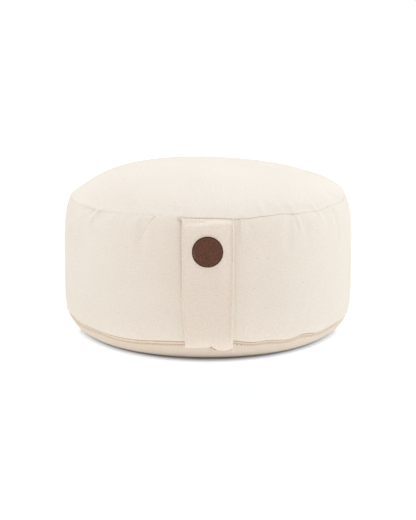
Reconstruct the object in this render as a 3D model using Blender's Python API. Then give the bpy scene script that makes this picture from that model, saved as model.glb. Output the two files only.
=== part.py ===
"""A round meditation cushion (a zafu) of natural cotton canvas, filled firm.

Metres, +Z up. The origin is the middle of the flat base, and the strap faces -Y.
A place on the cover is given by its azimuth in degrees (0 at the strap, growing towards +X),
its arc (the distance up the outline from the edge of the base) and its height above the cloth.
"""

import math

import bmesh
import bpy
import numpy as np

# Outline of the filled cover from the flat base up to the top seam.
OUTLINE = (
    # (radius, height)
    (0.1050, 0.0000),  # inside the flat base: only sets the slope at its edge
    (0.1272, 0.0000),  # edge of the flat base
    (0.1465, 0.0096),  # bottom panel, rolling up
    (0.1600, 0.0250),  # lower seam, with the zip
    (0.1643, 0.0450),
    (0.1650, 0.0800),  # belly of the band
    (0.1647, 0.1200),
    (0.1622, 0.1450),
    (0.1578, 0.1600),  # top seam
)
CURVE_STEPS = 16  # steps along each stretch of the outline

# The crown above the top seam: (radius / seam radius)^A + (rise / CROWN_RISE)^B = 1.
CROWN_RISE = 0.0386
CROWN_POWER_RADIUS = 2.70
CROWN_POWER_RISE = 1.40
CROWN_STEPS = 120

# The filling has settled unevenly, so the crown isn't quite round.
CROWN_LEAN = 0.0066  # lifts its -X side and lowers its +X side
CROWN_SWELL = 0.0019  # fills out both sides
SHOULDER_SHIFT = 0.0032  # moves the shoulder towards +X
SHOULDER_LEVEL = 0.30  # of the crown's rise
SHOULDER_FADE = 0.20  # of the crown's rise, above the seam
SETTLING_FADE = 0.62  # of the crown's rise, above the seam

# Columns of faces run round the cushion, finer at the front, where the strap and most folds are.
COLUMNS = 128
FRONT_CROWDING = 0.35

# Rows of faces between the lines that are sewn.
BOTTOM_ROWS = 5
BAND_ROWS = 15
CROWN_ROWS = 12
SEAM_ROWS = (-0.0055, -0.0024, 0.0, 0.0024, 0.0055)  # rows that follow the seam, as arc from it
RELIEF_FADE = 0.0120  # folds fade out this far from the flat base

# The top seam is drawn in by its stitches, and puckers the cloth on both sides.
SEAM_DEPTH = 0.0013
SEAM_WIDTH = 0.0024
SEAM_WAVES = (
    # (azimuth, lift, spread in degrees): where the seam line strays from its level
    (-49, -0.0013, 9),
    (-14, 0.0016, 4),
    (0, -0.0006, 9),
    (10, -0.0018, 3),
    (21, 0.0014, 5),
    (49, -0.0014, 6),
    (59, 0.0012, 5),
    (140, 0.0012, 14),
    (-150, -0.0012, 12),
)
PUCKER_WAVES = (
    # (waves round the seam, height, phase)
    (19, 0.00030, 0.4),
    (31, 0.00028, 1.9),
    (43, 0.00024, 4.1),
)
PUCKER_REACH = 0.0130  # how far from the seam the puckers fade out

# The zip lies in the lower seam, under the folded edge of the band.
ZIP_HALF_ANGLE = 104
ZIP_FADE_ANGLE = 8
ZIP_WIDTH = 0.0068
ZIP_DEPTH = 0.0021
ZIP_WALL = 0.0007
HEM_RISE = 0.0006
HEM_WIDTH = 0.0040
ZIP_LINE = (
    # (azimuth, height): the band's folded edge, which waves where the cloth is eased on to the zip
    (-180, 0.0250),
    (-110, 0.0265),
    (-73, 0.0295),
    (-58, 0.0263),
    (-35, 0.0226),
    (-10, 0.0258),
    (9, 0.0268),
    (18, 0.0234),
    (24, 0.0240),
    (33, 0.0218),
    (41, 0.0256),
    (49, 0.0229),
    (63, 0.0270),
    (90, 0.0280),
    (180, 0.0250),
)

FOLD_FADE = 0.5  # how much of its rise a fold loses from its first end to its second
FOLDS = (
    # (azimuth and arc from the top seam, of each end; rise; half width): a ridge, or a trough below 0
    (-21.5, -0.001, -26.5, -0.027, -0.0010, 0.0030),  # crease left of the strap
    (-23.8, -0.002, -28.6, -0.024, 0.0006, 0.0045),
    (-12.6, 0.000, -10.8, -0.009, -0.0018, 0.0042),  # tuck at the strap's corner
    (-12.4, 0.017, -11.4, 0.002, 0.0009, 0.0036),
    (-49.0, -0.004, -53.6, -0.020, 0.0014, 0.0044),  # pucker on the left
    (-51.8, -0.001, -56.0, -0.011, -0.0011, 0.0036),
    (-38.0, -0.003, -40.0, -0.016, 0.0006, 0.0042),
    (13.0, -0.003, 12.8, -0.024, 0.0008, 0.0030),  # fold right of the strap
    (34.0, 0.008, 36.0, -0.002, 0.0009, 0.0034),  # ridge that crosses the seam
    (36.0, -0.002, 37.2, -0.014, 0.0010, 0.0036),
    (38.8, -0.003, 39.6, -0.014, -0.0008, 0.0034),
    (57.4, -0.002, 57.8, -0.014, -0.0009, 0.0034),
    (24.0, 0.002, 21.0, 0.014, 0.0005, 0.0032),  # short puckers in the top panel
    (31.0, 0.002, 28.0, 0.012, 0.0004, 0.0030),
    (48.5, 0.001, 44.0, 0.014, 0.0006, 0.0034),
    (-31.0, 0.002, -28.5, 0.012, 0.0004, 0.0032),
    (-62.0, 0.002, -60.0, 0.015, 0.0005, 0.0036),
    (86.0, -0.002, 84.0, -0.020, 0.0009, 0.0050),  # round the back
    (112.0, 0.004, 108.0, -0.018, 0.0011, 0.0060),
    (139.0, -0.003, 142.0, -0.026, -0.0010, 0.0060),
    (168.0, 0.006, 171.0, -0.016, 0.0010, 0.0060),
    (-158.0, -0.002, -154.0, -0.024, 0.0011, 0.0060),
    (-127.0, 0.005, -131.0, -0.018, -0.0011, 0.0060),
    (-96.0, -0.002, -93.0, -0.020, 0.0009, 0.0050),
)

# The carry strap: canvas folded to a wide band, sewn into both seams.
GAP = 0.00035  # between neighbouring pieces
STRAP_WIDTH = 0.0550
STRAP_THICKNESS = 0.0024
STRAP_EDGE = 0.0011  # roundness of its folded long edges
STRAP_ROWS = 30
STRAP_ROW_CROWDING = 0.11  # brings the rows closer together towards its ends
STRAP_CLEAR_ANGLE = 10.6  # the band is smooth under it, this far to each side
STRAP_TOP_BELOW_SEAM = 0.0008
STRAP_COLUMNS = (-1.0, -0.96, -0.82, -0.6, -0.3, 0.0, 0.3, 0.6, 0.82, 0.96, 1.0)  # of half its width
STRAP_TAPER = 0.0045  # its ends thin out over this length, into the stitching
STRAP_END_THICKNESS = 0.0013
STRAP_END = (
    # (share of half its width, height): the lower edge, sewn in a little uneven
    (-1.0, 0.0188),
    (0.0, 0.0196),
    (0.2, 0.0182),
    (0.62, 0.0142),
    (0.82, 0.0158),
    (1.0, 0.0182),
)
STRAP_FOLD_HEIGHTS = (0.1530, 0.1555)  # a soft slanted fold under its upper end, left and right
STRAP_FOLD_RISE = 0.0009
STRAP_FOLD_WIDTH = 0.0030

# The leather patch on the strap.
PATCH_RADIUS = 0.0160
PATCH_THICKNESS = 0.0014
PATCH_HEIGHT = 0.1255
PATCH_BEVEL = 0.0006
PATCH_STITCH_RADIUS = 0.0130  # its stitches draw the leather in along this circle
PATCH_STITCH_DEPTH = 0.0003
PATCH_STITCH_WIDTH = 0.0012
PATCH_SEGMENTS = 48

ZIP_TAPE_THICKNESS = 0.0011
ZIP_TAPE_COLUMNS = (0.0, 0.35, 0.5, 0.65, 1.0)  # of its width

MATERIALS = {
    # name: (sRGB colour, roughness)
    "natural_canvas": ("F0E8DC", 0.92),
    "strap_canvas": ("EDE2D4", 0.92),
    "brown_leather": ("62402F", 0.55),
    "zip_tape_weave": ("DCC7AE", 0.85),
}


def smooth_step(value):
    value = np.clip(value, 0.0, 1.0)
    return value * value * (3.0 - 2.0 * value)


def through_rows(rows, steps):
    """A smooth curve through all the rows but the first, as points (radius, height)."""
    rows = np.array(rows)
    rows = np.vstack([rows, 2 * rows[-1] - rows[-2]])
    points = []
    for before, start, end, after in zip(rows, rows[1:], rows[2:], rows[3:]):
        for t in np.arange(steps) / steps:
            points.append(
                start
                + 0.5 * t * (end - before)
                + t**2 * (before - 2.5 * start + 2 * end - 0.5 * after)
                + t**3 * (-0.5 * before + 1.5 * start - 1.5 * end + 0.5 * after)
            )
    return np.array(points)


def crown_curve(seam_radius, seam_height):
    """The top panel's outline, from the seam to its highest point."""
    angle = np.linspace(0.0, math.pi / 2, CROWN_STEPS)
    radius = seam_radius * np.cos(angle) ** (2 / CROWN_POWER_RADIUS)
    rise = CROWN_RISE * np.sin(angle) ** (2 / CROWN_POWER_RISE)
    radius[-1] = 0.0
    return np.column_stack([radius, seam_height + rise])


SEAM_RADIUS, SEAM_HEIGHT = OUTLINE[-1]
SIDE = through_rows(OUTLINE, CURVE_STEPS)
COVER = np.vstack([SIDE, crown_curve(SEAM_RADIUS, SEAM_HEIGHT)])
STEP_LENGTHS = np.hypot(*np.diff(COVER, axis=0).T)
ARCS = np.concatenate([[0.0], np.cumsum(STEP_LENGTHS)])
SEAM_ARC = ARCS[len(SIDE)]
TOP_ARC = ARCS[-1]
SLOPES = np.gradient(COVER, ARCS, axis=0)


def arc_at_height(height):
    """How far up the outline the side reaches this height."""
    return np.interp(height, COVER[: len(SIDE) + 1, 1], ARCS[: len(SIDE) + 1])


def on_cover(azimuth, arc, height):
    """The point at this height above the smooth outline, as x, y, z."""
    radius = np.interp(arc, ARCS, COVER[:, 0])
    level = np.interp(arc, ARCS, COVER[:, 1])
    slope_r = np.interp(arc, ARCS, SLOPES[:, 0])
    slope_z = np.interp(arc, ARCS, SLOPES[:, 1])
    length = np.hypot(slope_r, slope_z)
    radius = radius + height * slope_z / length
    level = level - height * slope_r / length
    turn = np.radians(azimuth)
    return np.stack([radius * np.sin(turn), -radius * np.cos(turn), level], axis=-1)


def turn_between(azimuth, other):
    """The signed angle from one azimuth to another, the short way round, in degrees."""
    return (np.asarray(azimuth) - other + 180.0) % 360.0 - 180.0


def bell(distance, spread):
    return np.exp(-((distance / spread) ** 2))


def seam_arc(azimuth):
    """The arc of the top seam, which strays a little up and down."""
    waves = sum(lift * bell(turn_between(azimuth, at), spread) for at, lift, spread in SEAM_WAVES)
    return SEAM_ARC + waves


def hem_arc(azimuth):
    """The arc of the band's folded edge above the zip."""
    at, heights = np.array(ZIP_LINE).T
    azimuth = turn_between(azimuth, 0.0)
    place = np.clip(np.searchsorted(at, azimuth) - 1, 0, len(at) - 2)
    share = smooth_step((azimuth - at[place]) / (at[place + 1] - at[place]))
    height = heights[place] + share * (heights[place + 1] - heights[place])
    return arc_at_height(height)


def fold_relief(azimuth, arc):
    """How far the folds lift or sink the cloth."""
    relief = np.zeros_like(azimuth)
    for azimuth_a, up_a, azimuth_b, up_b, rise, half_width in FOLDS:
        along = np.array([math.radians(azimuth_b - azimuth_a) * SEAM_RADIUS, up_b - up_a])
        across_u = np.radians(turn_between(azimuth, azimuth_a)) * SEAM_RADIUS
        across_v = arc - SEAM_ARC - up_a
        length = np.hypot(*along)
        share = (across_u * along[0] + across_v * along[1]) / length**2
        held = np.clip(share, 0.0, 1.0)
        away = np.hypot(across_u - held * along[0], across_v - held * along[1])
        relief += rise * bell(away, half_width) * (1.0 - FOLD_FADE * smooth_step(held))
    return relief


def seam_relief(azimuth, arc):
    """The groove that the top stitching pulls, and the puckers beside it."""
    away = arc - seam_arc(azimuth)
    turn = np.radians(azimuth)
    puckers = sum(size * np.sin(count * turn + phase) for count, size, phase in PUCKER_WAVES)
    sunk = -SEAM_DEPTH * bell(away, SEAM_WIDTH)
    return sunk + puckers * bell(away, PUCKER_REACH)


def zip_share(azimuth):
    """1 where the zip runs, falling to 0 past its ends, where the lower seam is plain."""
    past = np.abs(turn_between(azimuth, 0.0)) - ZIP_HALF_ANGLE
    return 1.0 - smooth_step(past / ZIP_FADE_ANGLE)


def hem_relief(azimuth, arc):
    """The roll of the band's folded edge, just above the zip."""
    above = arc - hem_arc(azimuth)
    return HEM_RISE * bell(above, HEM_WIDTH) * (above >= 0.0)


def channel_depth(azimuth):
    share = zip_share(azimuth)
    return share * ZIP_DEPTH + (1.0 - share) * SEAM_DEPTH


def column_azimuths():
    """The azimuths of the columns of faces, closer together at the front."""
    even = np.linspace(-math.pi, math.pi, COLUMNS, endpoint=False)
    return np.degrees(even - FRONT_CROWDING * np.sin(even))


def cover_rows(azimuth):
    """Each row of the cover as (arc, sinking below the cloth), from the base's edge to the top."""
    hem = hem_arc(azimuth)
    low = hem - ZIP_WIDTH
    seam = seam_arc(azimuth)
    depth = channel_depth(azimuth)
    none = np.zeros_like(azimuth)
    for share in np.arange(BOTTOM_ROWS) / BOTTOM_ROWS:
        yield share * low, none
    yield low, none
    yield low + ZIP_WALL, depth
    yield hem - ZIP_WALL, depth
    yield hem, none
    for share in np.arange(1, BAND_ROWS) / BAND_ROWS:
        yield hem + share * (seam + SEAM_ROWS[0] - hem), none
    for offset in SEAM_ROWS:
        yield seam + offset, none
    start = seam + SEAM_ROWS[-1]
    for share in np.arange(1, CROWN_ROWS) / CROWN_ROWS:
        yield start + share * (TOP_ARC - start), none


def settle_crown(points):
    """Leans the crown and swells its shoulders, fading out at the seam."""
    rise = np.clip((points[..., 2] - SEAM_HEIGHT) / CROWN_RISE, 0.0, 1.0)
    side = points[..., 0] / SEAM_RADIUS
    inside = np.clip(1.0 - side**2 - (points[..., 1] / SEAM_RADIUS) ** 2, 0.0, 1.0)
    lift = CROWN_SWELL * side**2 * inside - CROWN_LEAN * side * inside**2
    shift = SHOULDER_SHIFT * bell(rise - SHOULDER_LEVEL, SHOULDER_LEVEL)
    shift *= smooth_step(rise / SHOULDER_FADE)
    points[..., 2] += lift * smooth_step(rise / SETTLING_FADE)
    points[..., 0] += shift
    return points


def cushion_points():
    """Rings of points from the base's edge up to the crown."""
    azimuth = column_azimuths()
    rings = []
    for arc, sunk in cover_rows(azimuth):
        relief = fold_relief(azimuth, arc) + seam_relief(azimuth, arc) + hem_relief(azimuth, arc)
        under_strap = (np.abs(azimuth) < STRAP_CLEAR_ANGLE) & (arc < seam_arc(azimuth))
        relief = np.where(under_strap, np.minimum(relief, 0.0), relief)
        relief *= smooth_step(arc / RELIEF_FADE)
        rings.append(settle_crown(on_cover(azimuth, arc, relief - sunk)))
    return rings


def add_object(name, build, material_name):
    """A named object whose mesh the build function adds to a bmesh."""
    shape = bmesh.new()
    build(shape)
    bmesh.ops.recalc_face_normals(shape, faces=shape.faces)
    mesh = bpy.data.meshes.new(name)
    shape.to_mesh(mesh)
    shape.free()
    mesh.shade_smooth()
    mesh.set_sharp_from_angle(angle=math.radians(50))
    mesh.materials.append(make_material(material_name))
    obj = bpy.data.objects.new(name, mesh)
    bpy.context.scene.collection.objects.link(obj)
    return obj


def make_material(name):
    """A plain Principled material in the piece's own colour."""
    colour, roughness = MATERIALS[name]
    material = bpy.data.materials.new(name)
    material.use_nodes = True
    shader = material.node_tree.nodes["Principled BSDF"]
    channels = [int(colour[i : i + 2], 16) / 255 for i in (0, 2, 4)]
    linear = [c / 12.92 if c <= 0.04045 else ((c + 0.055) / 1.055) ** 2.4 for c in channels]
    shader.inputs["Base Color"].default_value = (*linear, 1.0)
    shader.inputs["Roughness"].default_value = roughness
    shader.inputs["Metallic"].default_value = 0.0
    return material


def add_ring(shape, points):
    return [shape.verts.new(point) for point in points]


def join_rings(shape, lower, upper):
    """Quads between two closed rings of the same number of points."""
    for i, corner in enumerate(lower):
        j = (i + 1) % len(lower)
        shape.faces.new((corner, lower[j], upper[j], upper[i]))


def close_ring(shape, ring, middle):
    """A fan of triangles from a ring to the point in its middle."""
    centre = shape.verts.new(middle)
    for i, corner in enumerate(ring):
        shape.faces.new((corner, ring[(i + 1) % len(ring)], centre))


def build_cushion(shape):
    rings = [add_ring(shape, points) for points in cushion_points()]
    for lower, upper in zip(rings, rings[1:]):
        join_rings(shape, lower, upper)
    close_ring(shape, rings[0], (0.0, 0.0, 0.0))
    top = settle_crown(np.array([0.0, 0.0, SEAM_HEIGHT + CROWN_RISE]))
    close_ring(shape, rings[-1], top)


def add_slab(shape, outer, inner):
    """A closed sheet from two grids of points, its outer and its inner face."""
    outer = [add_ring(shape, row) for row in outer]
    inner = [add_ring(shape, row) for row in inner]
    for face, backwards in ((outer, False), (inner, True)):
        for low, high in zip(face, face[1:]):
            for i in range(len(low) - 1):
                corners = (low[i], low[i + 1], high[i + 1], high[i])
                shape.faces.new(corners[::-1] if backwards else corners)
    rim_outer = border(outer)
    rim_inner = border(inner)
    for i, corner in enumerate(rim_outer):
        j = (i + 1) % len(rim_outer)
        shape.faces.new((rim_outer[j], corner, rim_inner[i], rim_inner[j]))


def border(grid):
    """The corners round a grid's edge, in order."""
    right = [row[-1] for row in grid[1:-1]]
    left = [row[0] for row in grid[1:-1]]
    return grid[0] + right + grid[-1][::-1] + left[::-1]


def build_strap(shape):
    """The strap lies on the band, and its ends thin out into the two seams."""
    across = np.array(STRAP_COLUMNS)
    edge_share, edge_height = np.array(STRAP_END).T
    end = arc_at_height(np.interp(across, edge_share, edge_height))
    fold_height = np.interp(across, (-1.0, 1.0), STRAP_FOLD_HEIGHTS)
    azimuth_at_seam = np.degrees(across * 0.5 * STRAP_WIDTH / SEAM_RADIUS)
    top = seam_arc(azimuth_at_seam) - STRAP_TOP_BELOW_SEAM
    outer, inner = [], []
    for share in strap_shares():
        arc = end + share * (top - end)
        radius = np.interp(arc, ARCS, COVER[:, 0])
        azimuth = np.degrees(across * 0.5 * STRAP_WIDTH / radius)
        from_end = np.minimum(arc - end, top - arc)
        taper = smooth_step(from_end / STRAP_TAPER)
        thickness = STRAP_END_THICKNESS + taper * (STRAP_THICKNESS - STRAP_END_THICKNESS)
        from_side = (1.0 - np.abs(across)) * 0.5 * STRAP_WIDTH
        rounding = STRAP_EDGE * (1.0 - smooth_step(from_side / STRAP_EDGE))
        fold = STRAP_FOLD_RISE * bell(arc - arc_at_height(fold_height), STRAP_FOLD_WIDTH)
        outer.append(on_cover(azimuth, arc, GAP + thickness - rounding + fold))
        inner.append(on_cover(azimuth, arc, GAP + 0.25 * rounding))
    add_slab(shape, outer, inner)


def strap_shares():
    """Where the strap's rows lie, as shares of its length, closer together at both ends."""
    even = np.linspace(0.0, 1.0, STRAP_ROWS)
    return even - STRAP_ROW_CROWDING * np.sin(2 * math.pi * even)


def build_patch(shape):
    """A disc bent to the strap, with an eased rim and the shallow ring that its stitches draw in."""
    top = GAP + STRAP_THICKNESS + GAP + PATCH_THICKNESS
    middle = arc_at_height(PATCH_HEIGHT)
    section = (
        # (radius, height)
        (0.5 * PATCH_RADIUS, top),
        (PATCH_STITCH_RADIUS - PATCH_STITCH_WIDTH, top),
        (PATCH_STITCH_RADIUS, top - PATCH_STITCH_DEPTH),
        (PATCH_STITCH_RADIUS + PATCH_STITCH_WIDTH, top),
        (PATCH_RADIUS - PATCH_BEVEL, top),
        (PATCH_RADIUS, top - PATCH_BEVEL),
        (PATCH_RADIUS, top - PATCH_THICKNESS),
        (0.5 * PATCH_RADIUS, top - PATCH_THICKNESS),
    )
    turn = np.linspace(0.0, 2 * math.pi, PATCH_SEGMENTS, endpoint=False)
    rings = []
    for radius, height in section:
        azimuth = np.degrees(radius * np.sin(turn) / COVER[:, 0].max())
        rings.append(add_ring(shape, on_cover(azimuth, middle + radius * np.cos(turn), height)))
    for first, second in zip(rings, rings[1:]):
        join_rings(shape, first, second)
    close_ring(shape, rings[0], on_cover(0.0, middle, top))
    close_ring(shape, rings[-1][::-1], on_cover(0.0, middle, top - PATCH_THICKNESS))


def build_zip_tape(shape):
    """The woven tape, in the channel under the band's folded edge."""
    azimuth = column_azimuths()
    azimuth = azimuth[np.abs(azimuth) < ZIP_HALF_ANGLE]
    hem = hem_arc(azimuth)
    floor = GAP - ZIP_DEPTH
    outer, inner = [], []
    for share in ZIP_TAPE_COLUMNS:
        low = hem - ZIP_WIDTH + ZIP_WALL + GAP
        high = hem - ZIP_WALL - GAP
        arc = low + share * (high - low)
        outer.append(on_cover(azimuth, arc, np.full_like(azimuth, floor + ZIP_TAPE_THICKNESS)))
        inner.append(on_cover(azimuth, arc, np.full_like(azimuth, floor)))
    add_slab(shape, outer, inner)


def main():
    for obj in list(bpy.data.objects):
        bpy.data.objects.remove(obj)
    add_object("cushion", build_cushion, "natural_canvas")
    add_object("carry_strap", build_strap, "strap_canvas")
    add_object("leather_patch", build_patch, "brown_leather")
    add_object("zip_tape", build_zip_tape, "zip_tape_weave")


main()
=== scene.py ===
# %% [markdown]
# # A round meditation cushion, dressed
#
# A zafu is a drum of cotton canvas, filled hard with husks. A round top panel, a side band and a
# round bottom panel are sewn together and turned. A wide flat strap is caught in both seams at
# the front, a round leather patch sits on the strap, and a zip runs in the lower seam.
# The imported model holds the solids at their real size. This script gives them cloth, leather,
# thread and light. All lengths are in metres, and the strap faces -Y.

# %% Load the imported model
import math
import bmesh
import bpy
import numpy as np
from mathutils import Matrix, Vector


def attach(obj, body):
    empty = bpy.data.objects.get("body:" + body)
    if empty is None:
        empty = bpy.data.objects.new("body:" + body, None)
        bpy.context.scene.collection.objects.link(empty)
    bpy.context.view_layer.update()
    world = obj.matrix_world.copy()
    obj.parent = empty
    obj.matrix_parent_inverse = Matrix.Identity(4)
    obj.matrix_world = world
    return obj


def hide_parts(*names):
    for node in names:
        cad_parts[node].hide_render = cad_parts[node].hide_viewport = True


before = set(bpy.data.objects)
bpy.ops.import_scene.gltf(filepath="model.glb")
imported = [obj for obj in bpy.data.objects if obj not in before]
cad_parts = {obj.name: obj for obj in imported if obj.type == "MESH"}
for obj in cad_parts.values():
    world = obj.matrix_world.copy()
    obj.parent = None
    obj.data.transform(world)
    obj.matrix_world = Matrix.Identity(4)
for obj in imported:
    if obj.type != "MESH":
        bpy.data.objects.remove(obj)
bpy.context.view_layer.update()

# %% [markdown]
# ## The camera
#
# A long lens from two metres away keeps the drum's sides nearly upright, as product photographs
# do. The camera stands 11 degrees above level, so the crown shows as a low dome above the seam.

# %% Camera
CAMERA_ELEVATION = math.radians(11.2)
CAMERA_DISTANCE = 2.040
CAMERA_AIM_HEIGHT = 0.0840
ORBIT_HEIGHT = 0.0800  # the elevation is measured at this height
LENS_MM = 122.05
SENSOR_MM = 36.0


def add_object(name, data):
    """An object in the scene, made from a mesh, a light or a camera."""
    obj = bpy.data.objects.new(name, data)
    bpy.context.scene.collection.objects.link(obj)
    return obj


def add_camera():
    camera = add_object("camera", bpy.data.cameras.new("camera"))
    camera.data.lens = LENS_MM
    camera.data.sensor_width = SENSOR_MM
    camera.location = (
        0.0,
        -CAMERA_DISTANCE * math.cos(CAMERA_ELEVATION),
        ORBIT_HEIGHT + CAMERA_DISTANCE * math.sin(CAMERA_ELEVATION),
    )
    aim = Vector((0.0, 0.0, CAMERA_AIM_HEIGHT)) - camera.location
    camera.rotation_euler = aim.to_track_quat("-Z", "Y").to_euler()
    bpy.context.scene.camera = camera
    return camera


camera = add_camera()
print("camera at", [round(c, 4) for c in camera.location])

# %% [markdown]
# ## One way to write colours, one way to write nodes
#
# Colours are chosen as sRGB hex values, as a picture editor shows them. Shaders work in linear
# light, so one function converts them. A second function adds a node, with its settings and its
# links in one call, for shaders and Geometry Nodes alike. The others put the few things together
# that every material here needs: sums, ranges, mixed colours, and a colour with a bump.


# %% Colours and nodes
def linear(colour):
    """An sRGB hex colour as linear red, green, blue and alpha."""
    channels = [int(colour[i : i + 2], 16) / 255 for i in (0, 2, 4)]
    return (*[c / 12.92 if c <= 0.04045 else ((c + 0.055) / 1.055) ** 2.4 for c in channels], 1.0)


def add_node(tree, kind, settings=None, inputs=None):
    """A node of this kind; an input is given a value, or another node's socket to link."""
    node = tree.nodes.new(kind)
    for name, value in (settings or {}).items():
        setattr(node, name, value)
    for key, value in (inputs or {}).items():
        if isinstance(value, bpy.types.NodeSocket):
            tree.links.new(value, node.inputs[key])
        else:
            node.inputs[key].default_value = value
    return node


def maths(tree, operation, *values):
    """The result of a Math node on numbers or sockets."""
    inputs = dict(enumerate(values))
    return add_node(tree, "ShaderNodeMath", {"operation": operation}, inputs).outputs[0]


def ranged(tree, value, low, high, to_low=0.0, to_high=1.0, smooth=True):
    """A value remapped from one range to another, clamped."""
    kind = {"interpolation_type": "SMOOTHSTEP" if smooth else "LINEAR"}
    inputs = {"Value": value, "From Min": low, "From Max": high, "To Min": to_low, "To Max": to_high}
    return add_node(tree, "ShaderNodeMapRange", kind, inputs).outputs["Result"]


def new_material(name):
    """A material with a bare Principled shader, as (material, tree, shader)."""
    material = bpy.data.materials.new(name)
    material.use_nodes = True
    tree = material.node_tree
    return material, tree, tree.nodes["Principled BSDF"]


def weighted(tree, start, *terms):
    """A start value plus each (value, weight), as a socket."""
    total = start
    for value, weight in terms:
        total = maths(tree, "MULTIPLY_ADD", value, weight, total)
    return total


def mixed(tree, share, first, second):
    """A colour between two, each a hex string, a linear colour or a socket."""
    node = add_node(tree, "ShaderNodeMix", {"data_type": "RGBA"}, {"Factor": share})
    for name, value in (("A", first), ("B", second)):
        socket = [s for s in node.inputs if s.name == name and s.type == "RGBA"][0]
        if isinstance(value, bpy.types.NodeSocket):
            tree.links.new(value, socket)
        else:
            socket.default_value = linear(value) if isinstance(value, str) else value
    return [s for s in node.outputs if s.type == "RGBA"][0]


def shade(tree, shader, colour, bump, sockets):
    """Links a material's colour and bump, and sets the shader's own sockets."""
    tree.links.new(colour, shader.inputs["Base Color"])
    tree.links.new(add_node(tree, "ShaderNodeBump", {}, bump).outputs["Normal"], shader.inputs["Normal"])
    for name, value in sockets.items():
        shader.inputs[name].default_value = value


print("mid grey 808080 in linear light:", round(linear("808080")[0], 3))

# %% [markdown]
# ## Floor and light
#
# The cushion stands on a plain white sweep under broad soft lights: one overhead, one from each
# side and a weak one from behind. The lamps are a little blue and the sky a little warm, and
# together they leave the cream cloth its own colour. In a studio the sweep is lit as well. Here
# the floor glows softly far off, where the lamps don't reach, and in a ring round the cushion,
# which keeps the contact shadow narrow. Close to the cushion the paper is a little bluer, because
# the cloth throws warm light on it.

# %% Floor
FLOOR_SIZE = 24.0
NEAR_GLOW = 0.50  # a lit ring in the floor, which keeps the contact shadow narrow
NEAR_GLOW_SQUEEZE = 0.71  # distances front to back count this much in its shape
NEAR_GLOW_SHIFT = 0.057  # and start from this
NEAR_GLOW_RISE = (0.1510, 0.1670)  # distances in that shape
NEAR_GLOW_FALL = (0.176, 0.226)
COOL_BASE = (0.79, 0.855, 0.95, 1.0)  # linear colour, against the warm light from the cloth
FLOOR_BASE = (0.93, 0.93, 0.93, 1.0)
COOL_FADE = (0.162, 0.192)
FAR_GLOW = 0.51  # the far floor, which the lamps don't reach
FAR_GLOW_RISE = (0.500, 1.600)


def floor_distances(tree):
    """How far a place is from the floor's middle, plainly and in the shape of the glowing ring."""
    place = add_node(tree, "ShaderNodeTexCoord").outputs["Object"]
    measure = {"operation": "LENGTH"}
    off_middle = add_node(tree, "ShaderNodeVectorMath", measure, {0: place}).outputs["Value"]
    place = add_node(tree, "ShaderNodeSeparateXYZ", {}, {0: place})
    front = maths(tree, "MULTIPLY", maths(tree, "ABSOLUTE", place.outputs["Y"]), NEAR_GLOW_SQUEEZE)
    front = maths(tree, "ADD", front, NEAR_GLOW_SHIFT)
    shaped = {"X": place.outputs["X"], "Y": front}
    shaped = add_node(tree, "ShaderNodeCombineXYZ", {}, shaped).outputs["Vector"]
    return off_middle, add_node(tree, "ShaderNodeVectorMath", measure, {0: shaped}).outputs["Value"]


def paper_material(name):
    """Matt white paper that glows far off and in a ring round the cushion."""
    material, tree, shader = new_material(name)
    off_middle, off_ring = floor_distances(tree)
    far = ranged(tree, off_middle, *FAR_GLOW_RISE, 0.0, FAR_GLOW)
    near = ranged(tree, off_ring, *NEAR_GLOW_RISE, 0.0, NEAR_GLOW)
    near = maths(tree, "MULTIPLY", near, ranged(tree, off_ring, *NEAR_GLOW_FALL, 1.0, 0.0))
    tree.links.new(maths(tree, "ADD", near, far), shader.inputs["Emission Strength"])
    base = mixed(tree, ranged(tree, off_ring, *COOL_FADE), COOL_BASE, FLOOR_BASE)
    tree.links.new(base, shader.inputs["Base Color"])
    shader.inputs["Roughness"].default_value = 1.0
    shader.inputs["Specular IOR Level"].default_value = 0.0
    shader.inputs["Emission Color"].default_value = (1.0, 1.0, 1.0, 1.0)
    return material


def add_floor():
    mesh = bpy.data.meshes.new("floor")
    half = FLOOR_SIZE / 2
    corners = [(-half, -half, 0.0), (half, -half, 0.0), (half, half, 0.0), (-half, half, 0.0)]
    mesh.from_pydata(corners, [], [(0, 1, 2, 3)])
    mesh.materials.append(paper_material("matt_white_paper"))
    floor = add_object("floor", mesh)


add_floor()
print("floor:", FLOOR_SIZE, "m square")

# %% Lamps and sky
LAMP_AIM = Vector((0.0, 0.0, 0.10))
LAMPS = (
    # (name, azimuth, elevation, distance, size, watts, colour)
    ("overhead", 0, 88, 1.9, 1.6, 20.4, "C5E7FF"),
    ("left", -74, 16, 2.0, 1.2, 9.9, "CEF0FF"),
    ("right", 79, 16, 2.0, 1.2, 13.5, "CDEEFF"),
    ("back", 180, 40, 2.4, 1.6, 10.0, "FFFFFF"),
)
SKY_STRENGTH = 0.710
SKY_COLOUR = "FFECE0"


def add_lamp(name, azimuth, elevation, distance, size, watts, colour):
    light = bpy.data.lights.new(name, "AREA")
    light.shape = "DISK"
    light.size = size
    light.energy = watts
    light.color = linear(colour)[:3]
    lamp = add_object(name, light)
    turn, rise = math.radians(azimuth), math.radians(elevation)
    away = Vector((math.sin(turn) * math.cos(rise), -math.cos(turn) * math.cos(rise), math.sin(rise)))
    lamp.location = LAMP_AIM + away * distance
    lamp.rotation_euler = (-away).to_track_quat("-Z", "Y").to_euler()


def add_sky():
    world = bpy.data.worlds.new("studio")
    world.use_nodes = True
    background = world.node_tree.nodes["Background"]
    background.inputs["Color"].default_value = linear(SKY_COLOUR)
    background.inputs["Strength"].default_value = SKY_STRENGTH
    bpy.context.scene.world = world


add_sky()
for row in LAMPS:
    add_lamp(*row)
bpy.context.scene.view_settings.view_transform = "Standard"
print("lamps:", [row[0] for row in LAMPS])

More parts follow.
